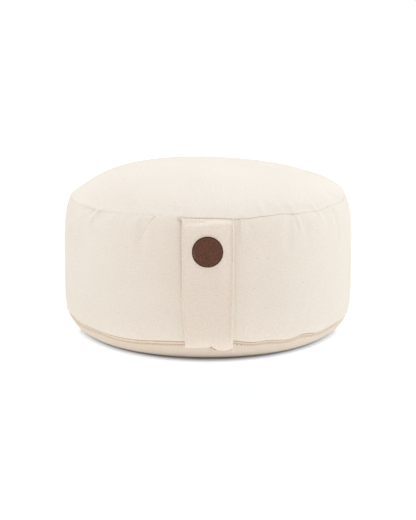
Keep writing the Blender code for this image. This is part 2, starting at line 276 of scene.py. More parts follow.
# %% [markdown]
# ## The outline of the filled cover
#
# Cut the drum through its middle and the cloth's edge runs from the flat base, up round the
# bottom panel, up the slightly bellied band to the top seam, and over the crown. A place on the
# cloth is then an azimuth round the drum and an arc up that outline, which is how a sewer would
# measure it with a tape. These sizes are the ones that the solids were made from.

# %% Outline
OUTLINE = (
    # (radius, height)
    (0.1050, 0.0000),  # inside the flat base: only sets the slope at its edge
    (0.1272, 0.0000),  # edge of the flat base
    (0.1465, 0.0096),  # bottom panel, rolling up
    (0.1600, 0.0250),  # lower seam, with the zip
    (0.1643, 0.0450),
    (0.1650, 0.0800),  # belly of the band
    (0.1647, 0.1200),
    (0.1622, 0.1450),
    (0.1578, 0.1600),  # top seam
)
CURVE_STEPS = 24  # along each stretch between two rows
CROWN_RISE = 0.0386  # (radius / seam's radius)^A + (rise / CROWN_RISE)^B = 1
CROWN_POWER_RADIUS = 2.70
CROWN_POWER_RISE = 1.40
CROWN_STEPS = 240


def smooth_step(value):
    """A smooth rise from 0 to 1 as the value goes from 0 to 1."""
    value = np.clip(value, 0.0, 1.0)
    return value * value * (3.0 - 2.0 * value)


def bell(distance, spread):
    """1 where the distance is 0, falling smoothly to nearly 0 at twice the spread."""
    return np.exp(-((distance / spread) ** 2))


def through_rows(rows, steps):
    """A smooth curve through all the rows but the first, as points (radius, height)."""
    rows = np.array(rows)
    rows = np.vstack([rows, 2 * rows[-1] - rows[-2]])
    points = []
    for before, start, end, after in zip(rows, rows[1:], rows[2:], rows[3:]):
        for t in np.arange(steps) / steps:
            points.append(
                start
                + 0.5 * t * (end - before)
                + t**2 * (before - 2.5 * start + 2 * end - 0.5 * after)
                + t**3 * (-0.5 * before + 1.5 * start - 1.5 * end + 0.5 * after)
            )
    return np.array(points)


def crown_curve(seam_radius, seam_height):
    """The top panel's outline, from the seam to its highest point."""
    angle = np.linspace(0.0, math.pi / 2, CROWN_STEPS)
    radius = seam_radius * np.cos(angle) ** (2 / CROWN_POWER_RADIUS)
    rise = CROWN_RISE * np.sin(angle) ** (2 / CROWN_POWER_RISE)
    radius[-1] = 0.0
    return np.column_stack([radius, seam_height + rise])


SEAM_RADIUS, SEAM_HEIGHT = OUTLINE[-1]
LOWER_SEAM_HEIGHT = OUTLINE[3][1]
BASE_RADIUS = OUTLINE[1][0]
SIDE = through_rows(OUTLINE, CURVE_STEPS)
COVER = np.vstack([SIDE, crown_curve(SEAM_RADIUS, SEAM_HEIGHT)])
ARCS = np.concatenate([[0.0], np.cumsum(np.hypot(*np.diff(COVER, axis=0).T))])
SEAM_ARC = ARCS[len(SIDE)]
TOP_ARC = ARCS[-1]
BELLY_RADIUS = COVER[:, 0].max()
SLOPES = np.gradient(COVER, ARCS, axis=0)


def arc_at_height(height):
    """How far up the outline the side reaches this height."""
    return np.interp(height, COVER[: len(SIDE) + 1, 1], ARCS[: len(SIDE) + 1])


def on_outline(azimuth, arc, height):
    """The point at this height above the smooth outline, as x, y, z."""
    radius = np.interp(arc, ARCS, COVER[:, 0])
    level = np.interp(arc, ARCS, COVER[:, 1])
    slope_r = np.interp(arc, ARCS, SLOPES[:, 0])
    slope_z = np.interp(arc, ARCS, SLOPES[:, 1])
    length = np.hypot(slope_r, slope_z)
    radius = radius + height * slope_z / length
    level = level - height * slope_r / length
    turn = np.radians(azimuth)
    return np.stack([radius * np.sin(turn), -radius * np.cos(turn), level], axis=-1)


print(f"band {1000 * (SEAM_ARC - arc_at_height(LOWER_SEAM_HEIGHT)):.0f} mm up its curve")
print(f"crown {1000 * (TOP_ARC - SEAM_ARC):.0f} mm from the seam to the middle")

# %% [markdown]
# ## Seams, hem and folds
#
# The top seam strays a few millimetres up and down, and the band's folded edge waves above the
# zip where the cloth was eased on to it. The folds are written as a tailor would point at them:
# from here to there, this high, this wide. A minus sign makes a trough. The shoulders are what the
# filling does beside the seam: the band rolls and swells just below it, and the crown falls
# towards it.

# %% Seam lines
SEAM_WAVES = (
    # (azimuth, lift, spread in degrees): where the seam line strays from its level
    (-49, -0.0013, 9),
    (-35, 0.0007, 3),
    (-24, 0.0008, 10),
    (-16, 0.0021, 5),
    (-8, -0.0004, 3),
    (0, -0.0003, 9),
    (7, -0.0005, 4),
    (10, -0.0015, 2),
    (15, -0.0014, 4),
    (30, 0.0010, 5),
    (36, -0.0010, 3),
    (49, -0.0014, 6),
    (59, 0.0012, 5),
    (78, 0.0013, 10),
    (140, 0.0012, 14),
    (-150, -0.0012, 12),
)
ZIP_HALF_ANGLE = 104
ZIP_FADE_ANGLE = 8
ZIP_WIDTH = 0.0050  # between the two folded edges, at its widest
ZIP_WIDTHS = (
    # (azimuth, share of that width)
    (-180, 0.90),
    (-60, 0.90),
    (-30, 1.00),
    (-9, 1.00),
    (9, 0.76),
    (60, 0.72),
    (180, 0.90),
)
ZIP_DEPTH = 0.0019
ZIP_LINE = (
    # (azimuth, height): the band's folded edge above the zip
    (-180, 0.0250),
    (-110, 0.0285),
    (-73, 0.0312),
    (-58, 0.0265),
    (-35, 0.0226),
    (-10, 0.0258),
    (9, 0.0268),
    (18, 0.0234),
    (24, 0.0240),
    (33, 0.0218),
    (41, 0.0256),
    (49, 0.0229),
    (63, 0.0270),
    (90, 0.0280),
    (180, 0.0250),
)


def turn_between(azimuth, other):
    """The signed angle from one azimuth to another, the short way round, in degrees."""
    return (np.asarray(azimuth) - other + 180.0) % 360.0 - 180.0


def seam_arc(azimuth):
    """The arc of the top seam."""
    waves = sum(lift * bell(turn_between(azimuth, at), spread) for at, lift, spread in SEAM_WAVES)
    return SEAM_ARC + waves


def hem_arc(azimuth):
    """The arc of the band's folded edge above the zip."""
    at, heights = np.array(ZIP_LINE).T
    azimuth = turn_between(azimuth, 0.0)
    place = np.clip(np.searchsorted(at, azimuth) - 1, 0, len(at) - 2)
    share = smooth_step((azimuth - at[place]) / (at[place + 1] - at[place]))
    return arc_at_height(heights[place] + share * (heights[place + 1] - heights[place]))


def zip_width(azimuth):
    """The arc between the band's folded edge and the bottom panel's."""
    at, shares = np.array(ZIP_WIDTHS).T
    return ZIP_WIDTH * np.interp(turn_between(azimuth, 0.0), at, shares)


def zip_share(azimuth):
    """1 where the zip runs, falling to 0 past its ends, where the lower seam is plain."""
    past = np.abs(turn_between(azimuth, 0.0)) - ZIP_HALF_ANGLE
    return 1.0 - smooth_step(past / ZIP_FADE_ANGLE)


strays = seam_arc(np.arange(-180.0, 180.0)) - SEAM_ARC
print(f"the top seam strays from {1000 * strays.min():.1f} to {1000 * strays.max():.1f} mm")

# %% Folds
FOLD_FADE = 0.5  # how much of its rise a fold loses from its first end to its second
FOLDS = (
    # (azimuth and arc from the top seam, of each end; rise; half width)
    (-21.2, -0.001, -23.9, -0.013, -0.0014, 0.0009),  # crease left of the strap
    (-23.9, -0.013, -26.6, -0.029, -0.0009, 0.0009),
    (-9.4, -0.0066, -11.2, -0.0018, -0.0030, 0.0015),  # tuck at the strap's corner
    (-9.8, -0.004, -9.6, -0.080, -0.0006, 0.0012),
    (-10.8, 0.002, -14.2, 0.017, 0.0018, 0.0022),
    (-8.4, 0.003, -10.6, 0.014, -0.0006, 0.0024),
    (-48.2, 0.000, -53.0, -0.018, 0.0020, 0.0028),  # puckers on the left
    (-46.4, -0.006, -48.8, -0.016, -0.0005, 0.0022),
    (-52.0, -0.003, -53.6, -0.008, -0.0020, 0.0022),
    (-38.8, -0.001, -40.6, -0.014, 0.0010, 0.0026),
    (-41.8, -0.006, -42.8, -0.012, -0.0005, 0.0020),
    (-27.2, 0.000, -28.6, -0.010, 0.0006, 0.0022),
    (-68.6, 0.009, -67.2, 0.003, -0.0012, 0.0016),
    (12.7, -0.001, 12.5, -0.026, 0.0010, 0.0011),  # fold right of the strap
    (13.2, 0.003, 11.8, 0.014, 0.0010, 0.0020),
    (36.2, 0.001, 33.0, 0.027, 0.0010, 0.0036),  # ridge that crosses the seam
    (36.4, -0.001, 38.4, -0.022, 0.0009, 0.0022),
    (38.2, -0.004, 39.8, -0.018, -0.0007, 0.0020),
    (32.4, 0.006, 29.6, 0.022, -0.0004, 0.0030),
    (22.0, 0.002, 19.8, 0.025, 0.0008, 0.0032),  # puckers on the right
    (48.8, 0.001, 45.0, 0.020, 0.0009, 0.0030),
    (49.0, -0.002, 50.4, -0.014, 0.0009, 0.0024),
    (51.2, -0.003, 52.4, -0.012, -0.0008, 0.0020),
    (56.8, -0.001, 57.2, -0.015, 0.0011, 0.0020),
    (59.0, -0.003, 60.2, -0.018, -0.0015, 0.0020),
    (62.0, -0.004, 63.6, -0.014, 0.0008, 0.0024),
    (86.0, -0.002, 84.0, -0.020, 0.0009, 0.0050),  # round the back
    (112.0, 0.004, 108.0, -0.018, 0.0011, 0.0060),
    (139.0, -0.003, 142.0, -0.026, -0.0010, 0.0060),
    (168.0, 0.006, 171.0, -0.016, 0.0010, 0.0060),
    (-158.0, -0.002, -154.0, -0.024, 0.0011, 0.0060),
    (-127.0, 0.005, -131.0, -0.018, -0.0011, 0.0060),
    (-96.0, -0.002, -93.0, -0.020, 0.0009, 0.0050),
    (-92.0, -0.150, -48.0, -0.150, 0.0014, 0.0100),  # fuller sides of the bottom panel
    (92.0, -0.150, 52.0, -0.150, 0.0016, 0.0100),
    (2.2, -0.1425, 1.2, -0.1560, -0.0016, 0.0030),  # bottom panel, under the strap's end
    (9.8, -0.1400, 9.9, -0.1570, 0.0011, 0.0018),
    (11.2, -0.1420, 11.4, -0.1560, -0.0005, 0.0022),
    (-2.6, -0.1400, -3.6, -0.1460, -0.0006, 0.0016),
)


def fold_relief(azimuth, arc):
    """How far the folds lift or sink the cloth."""
    relief = np.zeros_like(arc)
    for azimuth_a, up_a, azimuth_b, up_b, rise, half_width in FOLDS:
        along = np.array([math.radians(azimuth_b - azimuth_a) * SEAM_RADIUS, up_b - up_a])
        across_u = np.radians(turn_between(azimuth, azimuth_a)) * SEAM_RADIUS
        across_v = arc - SEAM_ARC - up_a
        length = np.hypot(*along)
        share = (across_u * along[0] + across_v * along[1]) / length**2
        held = np.clip(share, 0.0, 1.0)
        away = np.hypot(across_u - held * along[0], across_v - held * along[1])
        relief += rise * bell(away, half_width) * (1.0 - FOLD_FADE * smooth_step(held))
    return relief


SHOULDERS = (
    # (azimuth, roll and swell of the band below the seam, fall of the crown above it)
    (-180, 0.0000, 0.0000, 0.0000),
    (-90, 0.0000, 0.0000, 0.0000),
    (-70, 0.0006, 0.0004, 0.0000),
    (-45, 0.0010, 0.0010, 0.0002),
    (-28, 0.0013, 0.0018, 0.0006),
    (-13, 0.0013, 0.0013, 0.0006),
    (-6, 0.0000, 0.0011, 0.0006),
    (12, 0.0000, 0.0008, 0.0007),
    (24, 0.0000, 0.0008, 0.0009),
    (32, 0.0000, 0.0013, 0.0014),
    (48, 0.0000, 0.0013, 0.0013),
    (62, 0.0000, 0.0010, 0.0010),
    (78, 0.0000, 0.0000, 0.0000),
    (180, 0.0000, 0.0000, 0.0000),
)
ROLL_REACH = 0.0016  # how far from the seam each of them reaches
SWELL_REACH = 0.018
FALL_REACH = 0.010


def shoulder_relief(azimuth, arc):
    """The band's roll and swell just below the seam, and the crown's fall just above it."""
    at, roll, swell, fall = np.array(SHOULDERS).T
    azimuth = turn_between(azimuth, 0.0)
    below = np.maximum(seam_arc(azimuth) - arc, 0.0) / SWELL_REACH
    above = np.maximum(arc - seam_arc(azimuth), 0.0) / FALL_REACH
    rolled = 1.0 - np.exp(-below * SWELL_REACH / ROLL_REACH)
    relief = np.interp(azimuth, at, roll) * rolled * np.exp(-below)
    relief += np.interp(azimuth, at, swell) * below * np.exp(1.0 - below)
    return relief - np.interp(azimuth, at, fall) * above * np.exp(1.0 - above)


print("folds:", len(FOLDS))

# %% [markdown]
# ## Puckers from a cloth simulation
#
# Where a seam draws cloth in, the spare length has to go somewhere, and it buckles into small
# puckers that fan out from the stitches. Cloth simulation makes them better than a hand can. The
# drum starts with its seams let out by one or two percent. Then the seam rings, which are pinned,
# are drawn in to their sewn length over some frames while pressure holds the panels out. The
# outline is already the swollen one, so only the unevenness is kept: the mean swell round the
# drum is taken out, and what is left is capped.

# %% The simulation's grid
SIM_COLUMNS = 216
SIM_ROWS = (
    # (level at the start, level at the end, rows)
    (0.0, 1.0, 7),
    (1.0, 2.0, 32),
    (2.0, 3.0, 38),
)
FRONT_CROWDING = 0.35  # brings the columns closer together at the front


def column_azimuths(columns):
    """The azimuths of the columns of faces, closer together at the front."""
    even = np.linspace(-math.pi, math.pi, columns, endpoint=False)
    return np.degrees(even - FRONT_CROWDING * np.sin(even))


def arc_at_level(azimuth, level):
    """Levels run 0 to 1 up the bottom panel, 1 to 2 up the band and 2 to 3 over the crown."""
    hem, seam = hem_arc(azimuth), seam_arc(azimuth)
    bottom = level * (hem - zip_width(azimuth))
    band = hem + (level - 1.0) * (seam - hem)
    crown = seam + (level - 2.0) * (TOP_ARC - seam)
    return np.where(level < 1.0, bottom, np.where(level < 2.0, band, crown))


def sim_levels():
    """The levels of the simulation's rings."""
    parts = [start + (end - start) * np.arange(count) / count for start, end, count in SIM_ROWS]
    return np.concatenate(parts)


def drum_faces(rings, columns):
    """Quads between rings of points, and fans to the two middle points after them, facing out."""
    i = np.arange(columns)
    j = (i + 1) % columns
    ring = np.stack([i, j, j + columns, i + columns], axis=1)
    low_middle = np.full_like(i, rings * columns)
    last = (rings - 1) * columns
    parts = [ring + k * columns for k in range(rings - 1)]
    parts.append(np.stack([j, i, low_middle], axis=1))
    parts.append(np.stack([last + i, last + j, low_middle + 1], axis=1))
    return [face for part in parts for face in part.tolist()]


print("simulation:", len(sim_levels()), "rings of", SIM_COLUMNS, "points")

# %% Cloth to ease in
LET_OUT = 0.012  # of the seam's length
LET_OUT_REACH = 0.024
LET_OUT_LOW = 0.35  # of LET_OUT, at the lower seam
EASE_FRONT = 0.40  # of LET_OUT: the front was sewn with less to ease in than the back
EASE_BACK = 1.00
BACK_FROM, BACK_FADE = 60.0, 50.0  # degrees from the strap
EASE_SPOTS = (
    # (azimuth, share of LET_OUT, spread in degrees): where more cloth was eased in
    (-53, 0.55, 8),
    (-24, 0.35, 5),
    (13, 0.30, 4),
    (36, 0.55, 6),
    (57, 0.45, 5),
)


def ease_share(azimuth):
    """How much of LET_OUT is eased in at this azimuth."""
    behind = smooth_step((np.abs(turn_between(azimuth, 0.0)) - BACK_FROM) / BACK_FADE)
    spots = sum(share * bell(turn_between(azimuth, at), spread) for at, share, spread in EASE_SPOTS)
    return EASE_FRONT + (EASE_BACK - EASE_FRONT) * behind + spots


def let_out(sewn, azimuth, arcs):
    """The panels' points before the seams draw them in."""
    near_top = bell(arcs - seam_arc(azimuth), LET_OUT_REACH)
    near_low = bell(arcs - hem_arc(azimuth), LET_OUT_REACH) * smooth_step(arcs / LET_OUT_REACH)
    spare = LET_OUT * ease_share(azimuth) * np.maximum(near_top, LET_OUT_LOW * near_low)
    return sewn * np.stack([1.0 + spare, 1.0 + spare, np.ones_like(spare)], axis=-1)


print(f"let out by {LET_OUT * ease_share(0.0):.2%} in front and {LET_OUT * ease_share(180.0):.2%} behind")

# %% Simulate the panels
SIM_FRAMES = 20
DRAW_IN_FRAMES = 12
CLOTH = {
    "quality": 6,
    "use_pressure": True,
    "uniform_pressure_force": 4.0,
    "tension_stiffness": 40.0,
    "compression_stiffness": 40.0,
    "shear_stiffness": 12.0,
    "bending_stiffness": 6.0,
    "air_damping": 2.0,
}
SWELL_CAP = 0.0030
SWELL_SHARE = 0.60  # how much of the simulated unevenness the cover takes


def run_cloth(start, sewn, faces, pinned):
    """The start points after the simulation has drawn the pinned ones in to their sewn places."""
    mesh = bpy.data.meshes.new("drum")
    mesh.from_pydata(start.tolist(), [], faces)
    drum = add_object("drum", mesh)
    drum.shape_key_add(name="let_out")
    sewn_key = drum.shape_key_add(name="sewn")
    sewn_key.data.foreach_set("co", sewn.ravel())
    group = drum.vertex_groups.new(name="sewn_lines")
    group.add(pinned, 1.0, "REPLACE")
    cloth = drum.modifiers.new("filling", "CLOTH")
    for name, value in CLOTH.items():
        setattr(cloth.settings, name, value)
    cloth.settings.vertex_group_mass = group.name
    cloth.settings.effector_weights.gravity = 0.0
    cloth.point_cache.frame_start = 1
    cloth.point_cache.frame_end = SIM_FRAMES
    for share, number in ((0.0, 1), (1.0, DRAW_IN_FRAMES)):
        sewn_key.value = share
        sewn_key.keyframe_insert("value", frame=number)
    for number in range(1, SIM_FRAMES + 1):
        bpy.context.scene.frame_set(number)
    evaluated = drum.evaluated_get(bpy.context.evaluated_depsgraph_get())
    points = np.empty(len(start) * 3, np.float32)
    evaluated.data.vertices.foreach_get("co", points)
    bpy.context.scene.frame_set(1)
    bpy.data.objects.remove(drum)
    return points.reshape(-1, 3)


def simulate_panels():
    """The unevenness of the filled panels, for each level and column."""
    azimuth = column_azimuths(SIM_COLUMNS)
    levels = sim_levels()
    arcs = np.array([arc_at_level(azimuth, np.full_like(azimuth, level)) for level in levels])
    azimuths = np.broadcast_to(azimuth, arcs.shape)
    sewn = on_outline(azimuths, arcs, np.zeros_like(arcs))
    ends = np.array([[0.0, 0.0, 0.0], [0.0, 0.0, SEAM_HEIGHT + CROWN_RISE]])
    start = np.vstack([let_out(sewn, azimuth, arcs).reshape(-1, 3), ends])
    drawn = np.vstack([sewn.reshape(-1, 3), ends])
    rings = [k for k, level in enumerate(levels) if level in (0.0, 1.0, 2.0)]
    pinned = [k * SIM_COLUMNS + column for k in rings for column in range(SIM_COLUMNS)]
    pinned.append(len(start) - 2)
    points = run_cloth(start, drawn, drum_faces(len(levels), SIM_COLUMNS), pinned)
    return levels, uneven_part(points[:-2].reshape(sewn.shape) - sewn, azimuths, arcs)


def uneven_part(offsets, azimuths, arcs):
    """The offsets along the outline's normal, less their mean round the drum, and capped."""
    normal = on_outline(azimuths, arcs, np.ones_like(arcs))
    normal = normal - on_outline(azimuths, arcs, np.zeros_like(arcs))
    height = np.sum(offsets * normal, axis=-1)
    print(f"mean swell {1000 * height.mean():.2f} mm, largest {1000 * height.max():.2f} mm")
    height -= height.mean(axis=1, keepdims=True)
    return SWELL_SHARE * SWELL_CAP * np.tanh(height / SWELL_CAP)


SWELL_LEVELS, SWELL = simulate_panels()
print(f"puckers: {1000 * SWELL.min():.2f} to {1000 * SWELL.max():.2f} mm")

# %% [markdown]
# ## The cover
#
# The cover is one closed mesh of rings, so its triangles follow the sewn lines: extra rings run
# beside the seam and over the two folded edges at the zip. Its height above the smooth outline
# adds up the simulated puckers, the folds, the shoulders and the pull of the stitches. The
# filling has settled a little to one side, and the crown leans with it. A UV map holds the cut
# panels laid flat, in metres: a strip for the band and a disc for the top and for the bottom, so
# that the weave runs straight in each panel and breaks at the seams, as it does on the real one.

# %% Read the puckers anywhere
STRAP_CLEAR_ANGLE = 10.6  # the band is smooth under the strap, this far to each side
STRAP_CLEAR_FADE = 5.0
TURN_SAMPLES = 2001


def cubic_weights(t):
    """Catmull-Rom weights of the four neighbours of a place between two samples."""
    return (
        0.5 * (-t + 2 * t**2 - t**3),
        0.5 * (2 - 5 * t**2 + 3 * t**3),
        0.5 * (t + 4 * t**2 - 3 * t**3),
        0.5 * (-(t**2) + t**3),
    )


def swell_at(azimuth, level):
    """The simulated height at any place, smoothly between the simulation's own points."""
    even = np.linspace(-math.pi, math.pi, TURN_SAMPLES)
    crowded = even - FRONT_CROWDING * np.sin(even)
    turn = np.interp(np.radians(turn_between(azimuth, 0.0)), crowded, even)
    column = (turn + math.pi) / (2 * math.pi) * SIM_COLUMNS
    row = np.interp(level, SWELL_LEVELS, np.arange(len(SWELL_LEVELS)))
    row0, column0 = np.floor(row).astype(int), np.floor(column).astype(int)
    height = np.zeros_like(row)
    for i, row_weight in enumerate(cubic_weights(row - row0)):
        rows = np.clip(row0 + i - 1, 0, len(SWELL_LEVELS) - 1)
        for j, column_weight in enumerate(cubic_weights(column - column0)):
            height += row_weight * column_weight * SWELL[rows, (column0 + j - 1) % SIM_COLUMNS]
    beside = np.abs(turn_between(azimuth, 0.0)) - STRAP_CLEAR_ANGLE
    return height * np.where(level < 2.0, smooth_step(beside / STRAP_CLEAR_FADE), 1.0)


left_shoulder = swell_at(np.array([-53.0]), np.array([1.9]))[0]
print(f"simulated height on the left shoulder {1000 * left_shoulder:.2f} mm")

# %% Rows of the cover
COVER_SPACING = (
    # (azimuth, degrees between the cover's columns there)
    (-180, 1.70),
    (-104, 1.60),
    (-64, 0.54),
    (-29, 0.50),
    (-27, 0.28),
    (-20, 0.28),
    (-14, 0.40),
    (14, 0.40),
    (20, 0.50),
    (64, 0.54),
    (104, 1.60),
    (180, 1.70),
)
AZIMUTH_STEPS = 7200
BASE_RINGS = (0.18, 0.42, 0.66, 0.86)  # of the base's radius
BOTTOM_ROWS = 16
BAND_ROWS = 66
CROWN_ROWS = 78
BAND_CROWDING = 0.30  # both bring the rows closer together towards the top seam
CROWN_CROWDING = 0.35
SEAM_DEPTHS = (
    # (azimuth, depth of the groove that the stitches pull)
    (-180, 0.0009),
    (-110, 0.0006),
    (-80, 0.0001),
    (-34, 0.0000),
    (-22, 0.0002),
    (-11, 0.0004),
    (28, 0.0005),
    (48, 0.0003),
    (72, 0.0003),
    (110, 0.0006),
    (180, 0.0009),
)
SEAM_WIDTH = 0.0005  # how far from the seam the groove reaches
SEAM_OFFSETS = (0.0003, 0.0007, 0.0012, 0.0019, 0.0028, 0.0040, 0.0056, 0.0076)
FOLDED_EDGE = (
    # (offset from the fold, height, offset where the lower seam is plain): from the tape outwards
    (0.0010, -ZIP_DEPTH, -0.0031),
    (0.0004, -0.0012, -0.0026),
    (0.0000, -0.0005, -0.0020),
    (0.0002, 0.0001, -0.0012),
    (0.0008, 0.0006, -0.0003),
    (0.0016, 0.0007, 0.0008),
    (0.0028, 0.0005, 0.0024),
    (0.0045, 0.0002, 0.0045),
)
LOW_EDGE_SHARE = 0.35  # the bottom panel's folded edge is flatter than the band's


def cover_azimuths():
    """The azimuths of the cover's columns, closest together at the front."""
    at, spacing = np.array(COVER_SPACING).T
    fine = np.linspace(-180.0, 180.0, AZIMUTH_STEPS + 1)
    step = 360.0 / AZIMUTH_STEPS
    count = np.concatenate([[0.0], np.cumsum(step / np.interp(fine[1:], at, spacing))])
    total = int(count[-1])
    return np.interp(np.arange(total) * count[-1] / total, count, fine)


def seam_profile(azimuth, away):
    """The groove along the top seam."""
    at, depth = np.array(SEAM_DEPTHS).T
    depth = np.interp(turn_between(azimuth, 0.0), at, depth)
    return -depth * np.exp(-np.abs(away) / SEAM_WIDTH)


def folded_edge_rows(azimuth, fold, side, roll):
    """Rows over a folded edge at the zip; side is 1 for the band's and -1 for the bottom's."""
    share = zip_share(azimuth)
    middle = hem_arc(azimuth) - 0.5 * zip_width(azimuth)
    for offset, height, plain_offset in FOLDED_EDGE[::side]:
        arc = fold + side * (share * offset + (1.0 - share) * plain_offset)
        height = np.where(height > 0.0, roll * height, height)
        plain = seam_profile(azimuth, arc - middle)
        yield 1.0, arc, share * height + (1.0 - share) * plain


def cover_rows(azimuth):
    """Each ring of the cover as (level, arc, height of the sewn lines), from the base's edge up."""
    hem, seam = hem_arc(azimuth), seam_arc(azimuth)
    low = hem - zip_width(azimuth)
    none = np.zeros_like(azimuth)
    last = low - FOLDED_EDGE[-1][0]
    for share in np.arange(BOTTOM_ROWS) / BOTTOM_ROWS:
        arc = share * last
        yield arc / low, arc, none
    yield from folded_edge_rows(azimuth, low, -1, LOW_EDGE_SHARE)
    yield from folded_edge_rows(azimuth, hem, 1, 1.0)
    first, last = hem + FOLDED_EDGE[-1][0], seam - SEAM_OFFSETS[-1]
    for share in np.arange(1, BAND_ROWS) / BAND_ROWS:
        arc = first + (share + BAND_CROWDING * share * (1.0 - share)) * (last - first)
        yield 1.0 + (arc - hem) / (seam - hem), arc, none
    for offset in [-o for o in SEAM_OFFSETS[::-1]] + [0.0]:
        yield 2.0 + offset / (seam - hem), seam + offset, seam_profile(azimuth, none + offset)
    for offset in SEAM_OFFSETS:
        yield 2.0 + offset / (TOP_ARC - seam), seam + offset, seam_profile(azimuth, none + offset)
    first = seam + SEAM_OFFSETS[-1]
    for share in np.arange(1, CROWN_ROWS) / CROWN_ROWS:
        arc = first + (share - CROWN_CROWDING * share * (1.0 - share)) * (TOP_ARC - first)
        yield 2.0 + (arc - seam) / (TOP_ARC - seam), arc, none


print("cover:", len(cover_azimuths()), "columns,", len(list(cover_rows(cover_azimuths()))), "rows")

# %% Settle the crown
CROWN_LEAN = 0.0066  # lifts its -X side and lowers its +X side
CROWN_SWELL = 0.0019  # fills out both sides
SHOULDER_SHIFT = 0.0032  # moves the shoulder towards +X
SHOULDER_LEVEL = 0.30  # of the crown's rise
SHOULDER_FADE = 0.20  # of the crown's rise, above the seam
SETTLING_FADE = 0.62
RELIEF_FADE = 0.0120  # folds fade out this far from the flat base


def settle_crown(points):
    """Leans the crown, swells its sides and shifts its shoulder, fading out at the seam."""
    rise = np.clip((points[..., 2] - SEAM_HEIGHT) / CROWN_RISE, 0.0, 1.0)
    side = points[..., 0] / SEAM_RADIUS
    inside = np.clip(1.0 - side**2 - (points[..., 1] / SEAM_RADIUS) ** 2, 0.0, 1.0)
    lift = CROWN_SWELL * side**2 * inside - CROWN_LEAN * side * inside**2
    shift = SHOULDER_SHIFT * bell(rise - SHOULDER_LEVEL, SHOULDER_LEVEL)
    points[..., 2] += lift * smooth_step(rise / SETTLING_FADE)
    points[..., 0] += shift * smooth_step(rise / SHOULDER_FADE)
    return points


def cloth_relief(azimuth, level, arc):
    """Every unevenness of the cloth; under the strap the band has no folds that stand out."""
    relief = fold_relief(azimuth, arc) + swell_at(azimuth, level)
    under = (np.abs(azimuth) < STRAP_CLEAR_ANGLE) & (arc < seam_arc(azimuth))
    relief = np.where(under & (level > 1.0), np.minimum(relief, 0.0), relief)
    return (relief + shoulder_relief(azimuth, arc)) * smooth_step(arc / RELIEF_FADE)


def on_cloth(azimuth, level, arc, sewn):
    """Points of the cover's surface, where the stitches pull it this far."""
    return settle_crown(on_outline(azimuth, arc, sewn + cloth_relief(azimuth, level, arc)))


side = settle_crown(np.array([[-0.1, 0.0, 0.19], [0.1, 0.0, 0.19]]))[:, 2]
print(f"the crown leans {1000 * (side[0] - side[1]):.1f} mm over 200 mm")

# %% Make the cover
# the bottom_panel attribute masks the bottom panel's painted shade
LOW_PANEL = "bottom_panel"  # an attribute: 1 on that panel, 0 elsewhere


def mesh_object(name, points, faces, uvs, material):
    """A smooth object from arrays of points, faces and one UV pair for each face corner."""
    mesh = bpy.data.meshes.new(name)
    mesh.from_pydata(points.tolist(), [], faces)
    layer = mesh.uv_layers.new(name="cut_panels")
    layer.uv.foreach_set("vector", np.ascontiguousarray(uvs, np.float32).ravel())
    mesh.materials.append(material)
    mesh.shade_smooth()
    mesh.update()
    return add_object(name, mesh)


def disc_uv(radius, azimuth):
    """Places in a flat disc, as if it were cut from the cloth."""
    turn = np.radians(azimuth)
    return np.stack([radius * np.sin(turn), -radius * np.cos(turn)], axis=-1)


def corner_uvs(flat):
    """UV pairs of the quads between rings, from a grid with its first column repeated last."""
    near, far = flat[:-1], flat[1:]
    return np.stack([near[:, :-1], near[:, 1:], far[:, 1:], far[:, :-1]], axis=2).reshape(-1, 2)


def build_cover(material):
    """The whole cover: rings in the flat base, then the rows up the outline, and two middles."""
    azimuth = cover_azimuths()
    columns = len(azimuth)
    rows = list(cover_rows(azimuth))
    levels = np.array([np.broadcast_to(level, azimuth.shape) for level, _, _ in rows])
    arcs = np.array([arc for _, arc, _ in rows])
    sewn = np.array([height for _, _, height in rows])
    azimuths = np.broadcast_to(azimuth, arcs.shape)
    rings = on_cloth(azimuths, levels, arcs, sewn)
    base = [on_outline(azimuth, np.zeros_like(azimuth), 0.0) * share for share in BASE_RINGS]
    top = settle_crown(np.array([0.0, 0.0, SEAM_HEIGHT + CROWN_RISE]))
    points = np.concatenate([np.array(base).reshape(-1, 3), rings.reshape(-1, 3), [[0, 0, 0], top]])
    total = len(BASE_RINGS) + len(rows)
    uvs = cover_uvs(azimuth, arcs, levels[:, 0])
    cover = mesh_object("filled_cover", points, drum_faces(total, columns), uvs, material)
    low = np.ones((total, columns))
    low[len(BASE_RINGS) :] = arcs < hem_arc(azimuth) - 0.5 * zip_width(azimuth)
    low = np.append(low.ravel(), [1.0, 0.0]).astype(np.float32)
    cover.data.attributes.new(LOW_PANEL, "FLOAT", "POINT").data.foreach_set("value", low)
    return cover


def cover_uvs(azimuth, arcs, levels):
    """The cut panels: a disc for the bottom, a strip for the band and a disc for the top."""
    azimuth = np.append(azimuth, azimuth[0] + 360.0)
    arcs = np.hstack([arcs, arcs[:, :1]])
    base = np.array([disc_uv(share * BASE_RADIUS + 0 * azimuth, azimuth) for share in BASE_RINGS])
    bottom = np.concatenate([base, disc_uv(BASE_RADIUS + arcs, azimuth)])
    band = np.stack(np.broadcast_arrays(np.radians(azimuth) * BELLY_RADIUS, arcs), axis=-1)
    crown = disc_uv(TOP_ARC - arcs, azimuth)
    offset = len(BASE_RINGS)
    fold = offset + int(np.argmax(levels >= 1.0)) + len(FOLDED_EDGE)
    seam = offset + int(np.argmax(levels >= 2.0))
    quads = [
        corner_uvs(bottom[: fold + 1]),
        corner_uvs(band[fold - offset : seam - offset + 1]),
        corner_uvs(crown[seam - offset :]),
    ]
    low_fan = np.stack([base[0][1:], base[0][:-1], 0 * base[0][1:]], axis=1).reshape(-1, 2)
    high = crown[-1]
    high_fan = np.stack([high[:-1], high[1:], 0 * high[1:]], axis=1).reshape(-1, 2)
    return np.concatenate(quads + [low_fan, high_fan])


